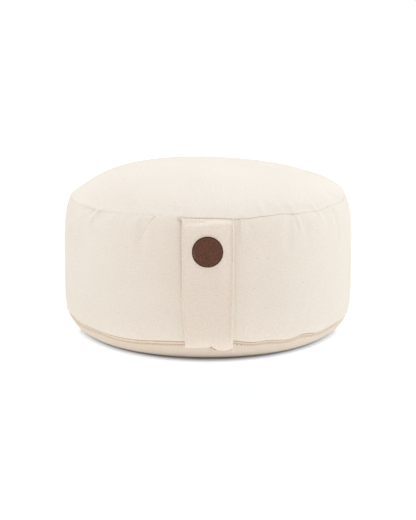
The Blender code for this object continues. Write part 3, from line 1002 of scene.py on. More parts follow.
CUT_TOP = 2 * (TOP_ARC - SEAM_ARC)
print(f"cut sizes: band {2 * math.pi * BELLY_RADIUS:.3f} m long, top panel {CUT_TOP:.3f} m across")

# %% [markdown]
# ## Natural cotton canvas
#
# The cover is unbleached cotton canvas, plain woven: each yarn goes over one and under the next.
# It keeps a warm cream colour, yarns that thicken and thin along their length, and small brown
# flecks of seed husk. Real canvas of this weight has about 18 yarns to the centimetre. At the
# photograph's scale that is half a pixel, so the yarns are drawn at 0.9 mm and the slubs, which
# do show, at their real few millimetres. Cotton is matt with a soft fuzz, which sheen gives.

# %% Canvas
YARN_PITCH = 0.0009
YARN_RELIEF = 0.00020
YARN_CROSSING = 0.35  # how softly one yarn goes under the other
CANVAS_NOISES = (
    # (size along the band, size up it, detail, offset)
    (0.0042, 0.0012, 1.0, 0.0),  # slubs in the weft
    (0.0012, 0.0042, 1.0, 7.3),  # slubs in the warp
    (0.0016, 0.0016, 2.0, 2.9),  # specks
    (0.0600, 0.0600, 3.0, 3.1),  # clouds
)
FLECKS = (
    # (spacing, share of the cells that hold one, radius, strength, offset)
    (0.0100, 0.60, 0.00055, 0.35, 0.0),
    (0.0240, 0.70, 0.00065, 0.70, 5.7),
)
COVER_COLOURS = ("F7EDE1", "ECDFCD")  # the light and the dark of each cloth
STRAP_COLOURS = ("F6EADD", "EADAC7")
FLECK_COLOUR = "A8845C"
PAINTED_BOTTOM_SHADE_COLOUR = "C9AE90"
PAINTED_BOTTOM_SHADE = 0.42  # painted shade: the bottom panel is coloured darker than the rest of the cover


def uv_in(tree, unit_u, unit_v):
    """The UV map's place in these units, as a socket."""
    cut = add_node(tree, "ShaderNodeUVMap", {"uv_map": "cut_panels"}).outputs["UV"]
    scale = {"Vector": cut, "Scale": (1 / unit_u, 1 / unit_v, 1.0)}
    return add_node(tree, "ShaderNodeMapping", {"vector_type": "POINT"}, scale).outputs["Vector"]


def noise(tree, place, detail=2.0, offset=0.0):
    """Smooth noise around 0.5, one blob to each unit of the place."""
    if offset:
        shift = {0: place, 1: (offset, offset, offset)}
        place = add_node(tree, "ShaderNodeVectorMath", {"operation": "ADD"}, shift).outputs[0]
    inputs = {"Vector": place, "Scale": 1.0, "Detail": detail, "Roughness": 0.5}
    return add_node(tree, "ShaderNodeTexNoise", {}, inputs).outputs["Fac"]


def plain_weave(tree, pitch):
    """The height of a plain weave, 0 between the yarns to 1 on top of them."""
    place = add_node(tree, "ShaderNodeSeparateXYZ", {}, {0: uv_in(tree, pitch, pitch)})
    warp = maths(tree, "SINE", maths(tree, "MULTIPLY", place.outputs["X"], math.pi))
    weft = maths(tree, "SINE", maths(tree, "MULTIPLY", place.outputs["Y"], math.pi))
    both = maths(tree, "MULTIPLY", warp, weft)
    warp_on_top = ranged(tree, both, -YARN_CROSSING, YARN_CROSSING)
    high_warp = maths(tree, "MULTIPLY", maths(tree, "MULTIPLY", warp, warp), warp_on_top)
    weft_on_top = maths(tree, "SUBTRACT", 1.0, warp_on_top)
    high_weft = maths(tree, "MULTIPLY", maths(tree, "MULTIPLY", weft, weft), weft_on_top)
    return maths(tree, "ADD", high_warp, high_weft)


def seed_flecks(tree, spacing, share, radius, strength, offset):
    """Husk flecks: each has half to one and a half times the radius, and 0.4 to 1 of the strength."""
    shift = {0: uv_in(tree, spacing, 0.8 * spacing), 1: (offset, offset, 0.0)}
    place = add_node(tree, "ShaderNodeVectorMath", {"operation": "ADD"}, shift).outputs[0]
    cells = add_node(tree, "ShaderNodeTexVoronoi", {"feature": "F1"}, {"Vector": place, "Scale": 1.0})
    pick = add_node(tree, "ShaderNodeSeparateXYZ", {}, {0: cells.outputs["Color"]})
    kept = maths(tree, "LESS_THAN", pick.outputs["X"], share)
    size = maths(tree, "MULTIPLY_ADD", pick.outputs["Y"], 1.0, 0.5)
    reach = maths(tree, "MULTIPLY", size, radius / spacing)
    near = maths(tree, "LESS_THAN", cells.outputs["Distance"], reach)
    amount = maths(tree, "MULTIPLY_ADD", pick.outputs["Z"], 0.6 * strength, 0.4 * strength)
    return maths(tree, "MULTIPLY", maths(tree, "MULTIPLY", near, kept), amount)


def canvas_material(name, light, dark):
    """Plain-woven cotton between two close colours, with slubs, seed flecks and painted shade on the
    bottom panel.
    """
    material, tree, shader = new_material(name)
    weave = plain_weave(tree, YARN_PITCH)
    noises = [noise(tree, uv_in(tree, u, v), *rest) for u, v, *rest in CANVAS_NOISES]
    weft_slubs, warp_slubs, specks, clouds = noises
    slubs = maths(tree, "MULTIPLY", maths(tree, "ADD", weft_slubs, warp_slubs), 0.5)
    # 0 is the dark colour and 1 the light one
    tone = weighted(tree, -1.25, (clouds, 0.5), (specks, 2.0), (slubs, 0.8), (weave, 0.25))
    colour = mixed(tree, ranged(tree, tone, 0.0, 1.0, smooth=False), dark, light)
    for row in FLECKS:
        colour = mixed(tree, seed_flecks(tree, *row), colour, FLECK_COLOUR)
    # painted shade: the bottom panel is mixed towards a darker tan
    low = add_node(tree, "ShaderNodeAttribute", {"attribute_name": LOW_PANEL}).outputs["Fac"]
    colour = mixed(tree, maths(tree, "MULTIPLY", low, PAINTED_BOTTOM_SHADE), colour, PAINTED_BOTTOM_SHADE_COLOUR)
    height = weighted(tree, weave, (slubs, 0.5), (specks, 1.0))
    bump = {"Height": height, "Strength": 1.0, "Distance": YARN_RELIEF}
    sockets = {
        "Roughness": 0.92,
        "Specular IOR Level": 0.25,
        "Sheen Weight": 0.12,
        "Sheen Roughness": 0.6,
    }
    shade(tree, shader, colour, bump, sockets)
    return material


cover_canvas = canvas_material("natural_cotton_canvas_plain_woven", *COVER_COLOURS)
strap_canvas = canvas_material("natural_cotton_canvas_folded_double", *STRAP_COLOURS)
print("materials:", cover_canvas.name, strap_canvas.name)

# %% Fit the cover
cover = build_cover(cover_canvas)
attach(cover, "root")
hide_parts("cushion")
print(f"cover: {2 * len(cover.data.polygons)} triangles or fewer")

# %% [markdown]
# ## The carry strap
#
# The strap is a strip of the same canvas, folded so that its raw edges are inside, and stitched
# close to both folds. That leaves a round bead along each edge with a shallow furrow inside it.
# Its ends are caught in the two seams: the upper end springs out of the seam and settles over a
# soft slanted fold, and the lower end was sewn in a little uneven. It is modelled as a thin
# closed sheet on the band, from two grids of points.

# %% The strap's sizes
GAP = 0.00035  # between neighbouring pieces
STRAP_WIDTH = 0.0550
STRAP_THICKNESS = 0.0023
STRAP_INSET = (0.0028, 0.0006)  # how far the left and right edges draw in at the lower end
STRAP_INSET_HEIGHTS = (0.075, 0.018)  # where that starts, and where it is full
STRAP_ROWS = 130
STRAP_ROW_CROWDING = 0.10  # brings the rows closer together towards its ends
STRAP_EDGE_COLUMNS = (
    # distances from an edge, close together over its bead
    *(0.0, 0.00008, 0.0003, 0.0006, 0.0009, 0.00115, 0.0015),
    *(0.0019, 0.0023, 0.0026, 0.0029, 0.0033, 0.0039),
)
STRAP_MIDDLE_COLUMNS = 31
STRAP_MIDDLE_FROM = 0.0050  # distance from an edge
STRAP_TOP_BELOW_SEAM = 0.0001
STRAP_TOP_ROUND = 0.0012  # its two ends close over these lengths
STRAP_END_ROUND = 0.0012
STRAP_END_TAPER = 0.0060  # and it thins over this one, into the lower seam
STRAP_END_THICKNESS = 0.0014
STRAP_END = (
    # (share of half its width, height): the lower edge, sewn in a little uneven
    (-1.0, 0.0184),
    (-0.15, 0.0190),
    (-0.06, 0.0196),
    (0.10, 0.0204),
    (0.20, 0.0180),
    (0.40, 0.0156),
    (0.62, 0.0147),
    (0.82, 0.0162),
    (1.0, 0.0186),
)


def strap_columns():
    """Distances from the strap's left edge, close together over the beads."""
    edge = np.array(STRAP_EDGE_COLUMNS)
    middle = np.linspace(STRAP_MIDDLE_FROM, STRAP_WIDTH - STRAP_MIDDLE_FROM, STRAP_MIDDLE_COLUMNS)
    return np.concatenate([edge, middle, STRAP_WIDTH - edge[::-1]])


across = strap_columns()
print(f"strap: {len(across)} columns over {1000 * across[-1]:.0f} mm")

# %% How far the strap stands off
STRAP_TOP = (
    # (share of its width; how deep and how far down the seam pulls it in; middle, half length
    #  and rise of the slanted fold below)
    (0.00, 0.0005, 0.0012, 0.0078, 0.0020, 0.0030),
    (0.20, 0.0007, 0.0014, 0.0076, 0.0024, 0.0034),
    (0.38, 0.0012, 0.0024, 0.0073, 0.0026, 0.0036),
    (0.55, 0.0018, 0.0032, 0.0052, 0.0036, 0.0038),
    (0.75, 0.0016, 0.0032, 0.0044, 0.0034, 0.0040),
    (1.00, 0.0014, 0.0030, 0.0040, 0.0032, 0.0040),
)
INNER_SINK = 0.35  # share of that pull on its inner face
STRAP_EASE = 0.0006  # how much further it stands off below the fold
STRAP_EASE_REACH = 0.0080
STRAP_SETTLED = (0.030, 0.125)  # from the seam: where it starts to settle, and where it lies flat
EDGES_HELD = 0.25  # share of its lift that its edges keep
EDGES_REACH = 0.018


def strap_top(across):
    """The columns of STRAP_TOP at these distances from the left edge."""
    share, *columns = np.array(STRAP_TOP).T
    return [np.interp(across / STRAP_WIDTH, share, column) for column in columns]


def strap_lift(across, from_top):
    """How far the strap stands off the band where it springs from the seam over a slanted fold."""
    _, _, middle, reach, height = strap_top(across)
    step = height * smooth_step(0.5 + 0.5 * (from_top - middle) / reach)
    after = np.maximum(from_top - middle + reach, 0.0)
    ease = STRAP_EASE * (1.0 - np.exp(-after / STRAP_EASE_REACH))
    settled = smooth_step((from_top - STRAP_SETTLED[0]) / (STRAP_SETTLED[1] - STRAP_SETTLED[0]))
    inside = smooth_step(np.minimum(across, STRAP_WIDTH - across) / EDGES_REACH)
    return (step + ease) * (1.0 - settled) * (EDGES_HELD + (1.0 - EDGES_HELD) * inside)


middle = strap_lift(np.array([0.5 * STRAP_WIDTH]), np.array([0.015]))[0]
print(f"the strap stands off by {1000 * middle:.1f} mm just below its slanted fold")

# %% The strap's two faces
BEAD_RISE = (0.0003, 0.0012)  # left edge, right edge
BEAD_WIDTH = 0.0013
BEAD_SPREAD = 0.8 * BEAD_WIDTH
FURROW_OFFSET = 0.0028
FURROW_WIDTH = 0.0006
FURROW_DEPTHS = (0.00003, 0.0001)  # left edge, right edge


def quarter_round(share):
    """The height of a round edge, from 0 at its rim to 1 where the share reaches 1."""
    return np.sqrt(np.clip(1.0 - (1.0 - np.minimum(share, 1.0)) ** 2, 0.0, 1.0))


def strap_faces(across, from_top, from_end):
    """The heights of the strap's outer and inner faces above the cover's gap."""
    from_side = np.minimum(across, STRAP_WIDTH - across)
    right = smooth_step(across / STRAP_WIDTH * 2.0 - 0.5)  # 0 near the left edge, 1 near the right
    middle = 0.5 * STRAP_THICKNESS
    round_edge = quarter_round(from_side / middle)
    bead = BEAD_RISE[0] + right * (BEAD_RISE[1] - BEAD_RISE[0])
    furrow = FURROW_DEPTHS[0] + right * (FURROW_DEPTHS[1] - FURROW_DEPTHS[0])
    outer = middle + middle * round_edge + bead * bell(from_side - BEAD_WIDTH, BEAD_SPREAD)
    outer -= furrow * bell(from_side - FURROW_OFFSET, FURROW_WIDTH)
    taper = smooth_step(from_end / STRAP_END_TAPER)
    outer = STRAP_END_THICKNESS + taper * (outer - STRAP_END_THICKNESS)
    inner = middle - middle * round_edge
    closing = quarter_round(np.minimum(from_top / STRAP_TOP_ROUND, from_end / STRAP_END_ROUND))
    centre = 0.5 * (outer + inner)
    lift = strap_lift(across, from_top)
    depth, reach, *_ = strap_top(across)
    sink = depth * bell(from_top, reach)
    outer = centre + closing * (outer - centre) + lift - sink
    inner = centre + closing * (inner - centre) + lift - INNER_SINK * sink
    return outer, inner


def strap_grid():
    """The strap's places, as grids (row, column) of across, azimuth, arc, from_top, from_end."""
    across = strap_columns()
    share, end_height = np.array(STRAP_END).T
    end = arc_at_height(np.interp(2 * across / STRAP_WIDTH - 1.0, share, end_height))
    top = seam_arc(np.degrees((across - 0.5 * STRAP_WIDTH) / SEAM_RADIUS)) - STRAP_TOP_BELOW_SEAM
    even = np.linspace(0.0, 1.0, STRAP_ROWS)
    rows = (even - STRAP_ROW_CROWDING * np.sin(2 * math.pi * even))[:, None]
    arc = end + rows * (top - end)
    height = np.interp(arc, ARCS, COVER[:, 1])
    start, full = STRAP_INSET_HEIGHTS
    drawn_in = smooth_step((start - height) / (start - full))
    inset = STRAP_INSET[0] * (1.0 - across / STRAP_WIDTH) - STRAP_INSET[1] * across / STRAP_WIDTH
    place = across - 0.5 * STRAP_WIDTH + inset * drawn_in
    azimuth = np.degrees(place / np.interp(arc, ARCS, COVER[:, 0]))
    return np.broadcast_to(across, arc.shape), azimuth, arc, top - arc, arc - end


def strap_surfaces():
    """The strap's grids, with the heights of its outer and inner faces above the outline."""
    across, azimuth, arc, from_top, from_end = strap_grid()
    outer, inner = strap_faces(across, from_top, from_end)
    floor = GAP + shoulder_relief(azimuth, arc)
    return across, azimuth, arc, from_top, from_end, floor + outer, floor + inner


face = strap_surfaces()[5] - strap_surfaces()[6]
print(f"the strap is up to {1000 * face.max():.1f} mm thick, over its beads")

# %% Make the strap
def slab_object(name, outer, inner, flat, material):
    """A closed sheet from grids of its outer and inner points; flat holds its UV places."""
    rows, columns = outer.shape[:2]
    points = np.concatenate([outer.reshape(-1, 3), inner.reshape(-1, 3)])
    index = np.arange(rows * columns).reshape(rows, columns)
    quads = np.stack([index[:-1, :-1], index[:-1, 1:], index[1:, 1:], index[1:, :-1]], axis=-1)
    quads = quads.reshape(-1, 4)
    rim = np.concatenate([index[0], index[1:-1, -1], index[-1, ::-1], index[-2:0:-1, 0]])
    after = np.roll(rim, -1)
    half = rows * columns
    sides = np.stack([after, rim, rim + half, after + half], axis=1)
    faces = np.concatenate([quads, quads[:, ::-1] + half, sides])
    places = np.concatenate([flat.reshape(-1, 2)] * 2)
    return mesh_object(name, points, faces.tolist(), places[faces].reshape(-1, 2), material)


def build_strap(material):
    across, azimuth, arc, _, _, outer, inner = strap_surfaces()
    outer, inner = on_outline(azimuth, arc, outer), on_outline(azimuth, arc, inner)
    return slab_object("carry_strap_sheet", outer, inner, np.stack([across, arc], axis=-1), material)


strap = build_strap(strap_canvas)
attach(strap, "root")
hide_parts("carry_strap")
print("strap:", len(strap.data.polygons), "quads")

# %% [markdown]
# ## The leather patch
#
# A disc of vegetable-tanned leather, cut with a round knife, its cut edge burnished dark. Short
# stitches all round hold it to the strap and press small dents into it. The face is left plain.

# %% Leather patch
PATCH_HEIGHT = 0.1255
PATCH_OFFSET = -0.0005  # from the strap's middle
PATCH_RADIUS = 0.0160
PATCH_THICKNESS = 0.0012
PATCH_BACK = GAP + STRAP_THICKNESS + 0.0001  # above the outline
PATCH_SEGMENTS = 264
PATCH_STITCHES = 44
PATCH_STITCH_INNER = 0.0129  # where the stitches start and end
PATCH_STITCH_OUTER = 0.0149
PATCH_STITCH_RADIUS = 0.5 * (PATCH_STITCH_INNER + PATCH_STITCH_OUTER)
PATCH_DENT = 0.00036
PATCH_DENT_SPREAD = 0.0013
PATCH_RINGS = (
    *(0.0020, 0.0045, 0.0070, 0.0090, 0.0106, 0.0118),
    *(0.0126, 0.0132, 0.0138, 0.0143, 0.0147, 0.0150),
)
PATCH_RIM_ROUND = 0.0007
PATCH_RIM_STEPS = 5
PATCH_BACK_BEVEL = (0.0003, 0.0002)  # in from the rim, and up from the back


def patch_top(radius, turn):
    """The height of the patch's face above its back, dented between its stitch ends."""
    at_row = bell(radius - PATCH_STITCH_RADIUS, PATCH_DENT_SPREAD)
    between = 0.5 + 0.5 * np.cos(PATCH_STITCHES * turn)
    return PATCH_THICKNESS - PATCH_DENT * at_row * between


def patch_place(radius, turn):
    """Azimuth, arc and the height of the strap's face there, round the patch's middle."""
    aside = PATCH_OFFSET + radius * np.sin(turn)
    azimuth = np.degrees(aside / BELLY_RADIUS)
    arc = arc_at_height(PATCH_HEIGHT) + radius * np.cos(turn)
    from_top = seam_arc(azimuth) - STRAP_TOP_BELOW_SEAM - arc
    lift = strap_lift(0.5 * STRAP_WIDTH + aside, from_top) + shoulder_relief(azimuth, arc)
    return azimuth, arc, PATCH_BACK + lift


def patch_point(radius, turn, height):
    """The point at this height above the patch's back."""
    azimuth, arc, back = patch_place(radius, turn)
    return on_outline(azimuth, arc, back + height)


def patch_section(turn):
    """The patch's rings as (radius, heights), from its middle over the rim to its back."""
    level = np.zeros_like(turn)
    section = [(radius, patch_top(radius, turn)) for radius in PATCH_RINGS]
    for angle in np.linspace(0.0, math.pi / 2, PATCH_RIM_STEPS):
        radius = PATCH_RADIUS - PATCH_RIM_ROUND * (1.0 - math.sin(angle))
        height = PATCH_THICKNESS - PATCH_RIM_ROUND * (1.0 - math.cos(angle))
        section.append((radius, level + height))
    section.append((PATCH_RADIUS, level + PATCH_BACK_BEVEL[1]))
    section.append((PATCH_RADIUS - PATCH_BACK_BEVEL[0], level))
    return section


def build_patch(material):
    turn = np.linspace(0.0, 2 * math.pi, PATCH_SEGMENTS, endpoint=False)
    section = patch_section(turn)
    rings = np.array([patch_point(radius, turn, height) for radius, height in section])
    centres = [patch_point(0.0, 0.0, PATCH_THICKNESS), patch_point(0.0, 0.0, 0.0)]
    points = np.concatenate([rings.reshape(-1, 3), centres])
    faces = drum_faces(len(section), PATCH_SEGMENTS)
    radii = np.repeat([radius for radius, _ in section], PATCH_SEGMENTS)
    turns = np.tile(turn, len(section))
    flat = np.column_stack([radii * np.sin(turns), radii * np.cos(turns)])
    flat = np.vstack([flat, np.zeros((2, 2))])
    uvs = np.concatenate([flat[face] for face in faces])
    patch = mesh_object("leather_patch_disc", points, faces, uvs, material)
    turn_outwards(patch)
    return patch


def turn_outwards(obj):
    """Recalculates the faces of a closed mesh so that they point out."""
    shape = bmesh.new()
    shape.from_mesh(obj.data)
    bmesh.ops.recalc_face_normals(shape, faces=shape.faces)
    shape.to_mesh(obj.data)
    shape.free()


# %% Leather
LEATHER_GRAIN = 0.0007
LEATHER_RELIEF = 0.00010
LEATHER_MOTTLE = 0.0026
LEATHER_COLOURS = ("855947", "4C2F26")  # light, dark
RIM_COLOUR = "47241E"
RIM_START = 0.0138


def leather_material(name):
    """Brown leather with a pebbled grain, mottled dye and a burnished dark rim."""
    material, tree, shader = new_material(name)
    cut = add_node(tree, "ShaderNodeUVMap", {"uv_map": "cut_panels"}).outputs["UV"]
    radius = add_node(tree, "ShaderNodeVectorMath", {"operation": "LENGTH"}, {0: cut}).outputs["Value"]
    rim = ranged(tree, radius, RIM_START, PATCH_RADIUS)
    place = uv_in(tree, LEATHER_GRAIN, LEATHER_GRAIN)
    inputs = {"Vector": place, "Scale": 1.0, "Randomness": 0.9}
    cells = add_node(tree, "ShaderNodeTexVoronoi", {"feature": "DISTANCE_TO_EDGE"}, inputs)
    pebble = ranged(tree, cells.outputs["Distance"], 0.0, 0.28)
    mottle = noise(tree, uv_in(tree, LEATHER_MOTTLE, LEATHER_MOTTLE), 3.0)
    tone = ranged(tree, weighted(tree, -0.38, (pebble, 0.5), (mottle, 1.0)), 0.0, 1.0, smooth=False)
    light, dark = LEATHER_COLOURS
    colour = mixed(tree, rim, mixed(tree, tone, dark, light), RIM_COLOUR)
    bump = {"Height": pebble, "Strength": 0.6, "Distance": LEATHER_RELIEF}
    shade(tree, shader, colour, bump, {"Roughness": 0.78, "Specular IOR Level": 0.16})
    return material


patch = build_patch(leather_material("vegetable_tanned_leather_burnished_edge"))
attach(patch, "root")
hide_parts("leather_patch")
print("patch:", len(patch.data.polygons), "faces")

# %% [markdown]
# ## The zip tape
#
# The zip's teeth are hidden behind the band's folded edge. What shows is its woven tape: a narrow
# strip with a raised cord along its middle and a herringbone weave of fine ribs.

# %% Zip tape
TAPE_THICKNESS = 0.0011
TAPE_STEP = 0.0016  # length of one step of the mesh along the tape
TAPE_UNDER = (0.0004, 0.0003)  # how far it runs in under the lower and the upper folded edge
TAPE_PROFILE = (
    # (share of the tape's width from its lower edge, height above its flat face)
    (0.00, 0.0000),
    (0.08, 0.0000),
    (0.15, 0.0003),
    (0.25, 0.0006),
    (0.40, 0.0007),
    (0.55, 0.0007),
    (0.66, 0.0005),
    (0.74, 0.0001),
    (0.82, -0.0003),
    (1.00, -0.0005),
)
RIB_PITCH = 0.0011
RIB_SLANT = 0.0008
RIB_RELIEF = 0.00016
TAPE_WEAR = (0.006, 0.002)  # size of the lighter and darker stretches, along and across
TAPE_COLOURS = ("F0E3D2", "E2CFB8")  # light, dark
# painted shade where the two folded edges overhang the tape
TAPE_PAINTED_SHADE = "CFAE8E"


def build_tape(material):
    half = math.radians(ZIP_HALF_ANGLE)
    azimuth = np.degrees(np.arange(-half, half, TAPE_STEP / SEAM_RADIUS))
    hem = hem_arc(azimuth)
    width = zip_width(azimuth)
    low, high = hem - width - TAPE_UNDER[0], hem + TAPE_UNDER[1]
    share, relief = np.array(TAPE_PROFILE).T
    arc = low + share[:, None] * (high - low)
    azimuths = np.broadcast_to(azimuth, arc.shape)
    floor = GAP - ZIP_DEPTH
    face = floor + TAPE_THICKNESS + np.broadcast_to(relief[:, None], arc.shape)
    outer = on_outline(azimuths, arc, face)
    inner = on_outline(azimuths, arc, np.full_like(arc, floor))
    across = (arc - hem + width) / width * ZIP_WIDTH
    flat = np.stack([np.radians(azimuths) * SEAM_RADIUS, across], axis=-1)
    return slab_object("zip_tape_woven", outer, inner, flat, material)


def tape_material(name):
    """Woven polyester tape: slanted ribs, mirrored about the middle, and painted shade along both edges,
    under the folded edges.
    """
    material, tree, shader = new_material(name)
    place = add_node(tree, "ShaderNodeSeparateXYZ", {}, {0: uv_in(tree, RIB_PITCH, RIB_SLANT)})
    across = add_node(tree, "ShaderNodeSeparateXYZ", {}, {0: uv_in(tree, ZIP_WIDTH, ZIP_WIDTH)})
    fold = maths(tree, "ABSOLUTE", maths(tree, "SUBTRACT", across.outputs["Y"], 0.5))
    slant = maths(tree, "MULTIPLY", fold, ZIP_WIDTH / RIB_SLANT)
    ribs = maths(tree, "MULTIPLY", maths(tree, "ADD", place.outputs["X"], slant), 2 * math.pi)
    ribs = maths(tree, "SINE", ribs)
    tone = weighted(tree, noise(tree, uv_in(tree, *TAPE_WEAR), 2.0), (ribs, 0.18))
    light, dark = TAPE_COLOURS
    weave = mixed(tree, ranged(tree, tone, 0.1, 0.9, smooth=False), dark, light)
    # painted shade: the tape's top and bottom, under the folded edges, are mixed towards tan
    upper = ranged(tree, across.outputs["Y"], 0.66, 0.86)
    lower = ranged(tree, across.outputs["Y"], 0.24, 0.12)
    colour = mixed(tree, maths(tree, "MAXIMUM", upper, lower), weave, TAPE_PAINTED_SHADE)
    bump = {"Height": ribs, "Strength": 0.7, "Distance": RIB_RELIEF}
    shade(tree, shader, colour, bump, {"Roughness": 0.8, "Specular IOR Level": 0.3})
    return material


tape = build_tape(tape_material("zip_tape_polyester_herringbone_woven"))
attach(tape, "root")
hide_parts("zip_tape")
print("zip tape:", len(tape.data.polygons), "quads")

# %% [markdown]
# ## Stitches with Geometry Nodes
#
# A row of stitches is one small thread shape repeated along a path on the cloth. The path is a
# mesh of edges that carries which way is out. Geometry Nodes turns it into a curve, samples it at
# the stitch pitch, sets one bent and pinched bit of thread on each sample, and realizes the
# copies into plain mesh. One tree serves every row: along the seam, along the zip, along the
# strap's edges and its lower end, and set across the row round the patch.

# %% The stitch tree
STITCH_TURNS = (0.03, 0.03, 0.10)  # most that chance turns a stitch about each axis, in radians
THREAD_STEPS = 6  # along a stitch, and round it
THREAD_ENDS = 0.35  # the thread's thickness at its ends


def tree_socket(tree, name, kind, way="INPUT"):
    """An input or output of the tree."""
    return tree.interface.new_socket(name=name, in_out=way, socket_type=kind)


def facing_out(tree, given):
    """The turn that sets a stitch along the path and upright on the cloth, a little uneven."""
    vectors = {"data_type": "FLOAT_VECTOR"}
    out = add_node(tree, "GeometryNodeInputNamedAttribute", vectors, {"Name": "outward"})
    tangent = add_node(tree, "GeometryNodeInputTangent").outputs["Tangent"]
    kind = {"primary_axis": "Z", "secondary_axis": "X"}
    axes = {"Primary Axis": out.outputs["Attribute"], "Secondary Axis": tangent}
    facing = add_node(tree, "FunctionNodeAxesToRotation", kind, axes).outputs["Rotation"]
    least = tuple(-turn for turn in STITCH_TURNS)
    uneven = {"Min": least, "Max": STITCH_TURNS, "Seed": given["Seed"]}
    uneven = add_node(tree, "FunctionNodeRandomValue", vectors, uneven).outputs["Value"]
    turn = add_node(tree, "ShaderNodeCombineXYZ", {}, {"Z": given["Turn"]}).outputs["Vector"]
    turn = {0: turn, 1: uneven}
    turn = add_node(tree, "ShaderNodeVectorMath", {"operation": "ADD"}, turn).outputs[0]
    turn = add_node(tree, "FunctionNodeEulerToRotation", {}, {"Euler": turn}).outputs["Rotation"]
    turns = {"Rotation": facing, "Rotate By": turn}
    local = {"rotation_space": "LOCAL"}
    return add_node(tree, "FunctionNodeRotateRotation", local, turns).outputs["Rotation"]


def one_stitch(tree, given):
    """A bit of thread along X: it rises in the middle, and thins and sinks at both ends."""
    half = maths(tree, "MULTIPLY", given["Length"], 0.5)
    back = maths(tree, "MULTIPLY", half, -1.0)
    down = maths(tree, "MULTIPLY", given["Sink"], -1.0)
    ends = {"Resolution": THREAD_STEPS}
    for name, place in (
        ("Start", {"X": back, "Z": down}),
        ("Middle", {"Z": given["Rise"]}),
        ("End", {"X": half, "Z": down}),
    ):
        ends[name] = add_node(tree, "ShaderNodeCombineXYZ", {}, place).outputs["Vector"]
    line = add_node(tree, "GeometryNodeCurveQuadraticBezier", {}, ends).outputs["Curve"]
    along = add_node(tree, "GeometryNodeSplineParameter").outputs["Factor"]
    swell = maths(tree, "SINE", maths(tree, "MULTIPLY", along, math.pi))
    swell = weighted(tree, THREAD_ENDS, (maths(tree, "SQRT", swell), 1.0 - THREAD_ENDS))
    swell = {"Curve": line, "Radius": swell}
    line = add_node(tree, "GeometryNodeSetCurveRadius", {}, swell).outputs["Curve"]
    ring = {"Resolution": THREAD_STEPS, "Radius": maths(tree, "MULTIPLY", given["Thread"], 0.5)}
    ring = add_node(tree, "GeometryNodeCurvePrimitiveCircle", {}, ring).outputs["Curve"]
    body = {"Curve": line, "Profile Curve": ring, "Fill Caps": True}
    return add_node(tree, "GeometryNodeCurveToMesh", {}, body).outputs["Mesh"]


def stitch_tree():
    """A Geometry Nodes tree that lays thread stitches along the edges of a mesh."""
    tree = bpy.data.node_groups.new("stitch_row", "GeometryNodeTree")
    tree_socket(tree, "Geometry", "NodeSocketGeometry", "OUTPUT")
    tree_socket(tree, "Geometry", "NodeSocketGeometry")
    for name in ("Pitch", "Length", "Thread", "Rise", "Sink", "Turn"):
        tree_socket(tree, name, "NodeSocketFloat")
    tree_socket(tree, "Seed", "NodeSocketInt")
    tree_socket(tree, "Finish", "NodeSocketMaterial")
    given = add_node(tree, "NodeGroupInput").outputs
    path = {"Mesh": given["Geometry"]}
    path = add_node(tree, "GeometryNodeMeshToCurve", {}, path).outputs["Curve"]
    path = {"Curve": path, "Length": given["Pitch"]}
    path = add_node(tree, "GeometryNodeResampleCurve", {"mode": "LENGTH"}, path).outputs["Curve"]
    facing = facing_out(tree, given)
    made = {"Points": path, "Instance": one_stitch(tree, given), "Rotation": facing}
    made = add_node(tree, "GeometryNodeInstanceOnPoints", {}, made).outputs["Instances"]
    for kind, inputs in (
        ("GeometryNodeRealizeInstances", {}),
        ("GeometryNodeSetShadeSmooth", {}),
        ("GeometryNodeSetMaterial", {"Material": given["Finish"]}),
    ):
        made = add_node(tree, kind, {}, {"Geometry": made, **inputs}).outputs["Geometry"]
    add_node(tree, "NodeGroupOutput", {}, {"Geometry": made})
    return tree


STITCH_TREE = stitch_tree()
print("stitch tree:", len(STITCH_TREE.nodes), "nodes")


# %% Lay a row
def path_object(name, points, outward, closed=False):
    """A mesh of edges through the points, which carries the way out at each of them."""
    count = len(points)
    edges = [(i, i + 1) for i in range(count - 1)] + ([(count - 1, 0)] if closed else [])
    mesh = bpy.data.meshes.new(name)
    mesh.from_pydata(points.tolist(), edges, [])
    attribute = mesh.attributes.new("outward", "FLOAT_VECTOR", "POINT")
    attribute.data.foreach_set("vector", np.ascontiguousarray(outward, np.float32).ravel())
    return add_object(name, mesh)


def stitch_row(name, places, lift, thread, stitch, turn=0.0, closed=False):
    """Stitches along places on the cover, as a plain mesh."""
    azimuth, arc, height = places
    points = settle_crown(on_outline(azimuth, arc, height + lift))
    outward = on_outline(azimuth, arc, height + lift + 1.0) - on_outline(azimuth, arc, height + lift)
    path = path_object(name + "_path", points, outward, closed)
    modifier = path.modifiers.new("stitches", "NODES")
    modifier.node_group = STITCH_TREE
    given = dict(zip(("Pitch", "Length", "Thread", "Rise", "Sink"), stitch))
    given.update({"Turn": turn, "Seed": len(name), "Finish": thread})
    for item in STITCH_TREE.interface.items_tree:
        if item.name in given:
            modifier[item.identifier] = given[item.name]
    made = path.evaluated_get(bpy.context.evaluated_depsgraph_get())
    mesh = bpy.data.meshes.new_from_object(made)
    mesh.name = name
    bpy.data.objects.remove(path)
    return add_object(name, mesh)


# %% [markdown]
# ## Threads, and where their rows run
# A seam shows its thread only where it opens a little, and the same thread looks tan in a deep
# spot and cream in a shallow one. So the shade of each spot is painted into its row's thread: tan
# where the strap is caught, sand and then pale to its right, cream to its left. Beside the zip the
# stitches are heavier and show as dots, and their buff also paints the shade of the needle holes.
# The patch is sewn with waxed thread, and a few of its stitches on one side are paler grey, a
# painted glint.

# %% Threads
THREAD_GRAIN = 0.0006
THREAD_RELIEF = 0.0001


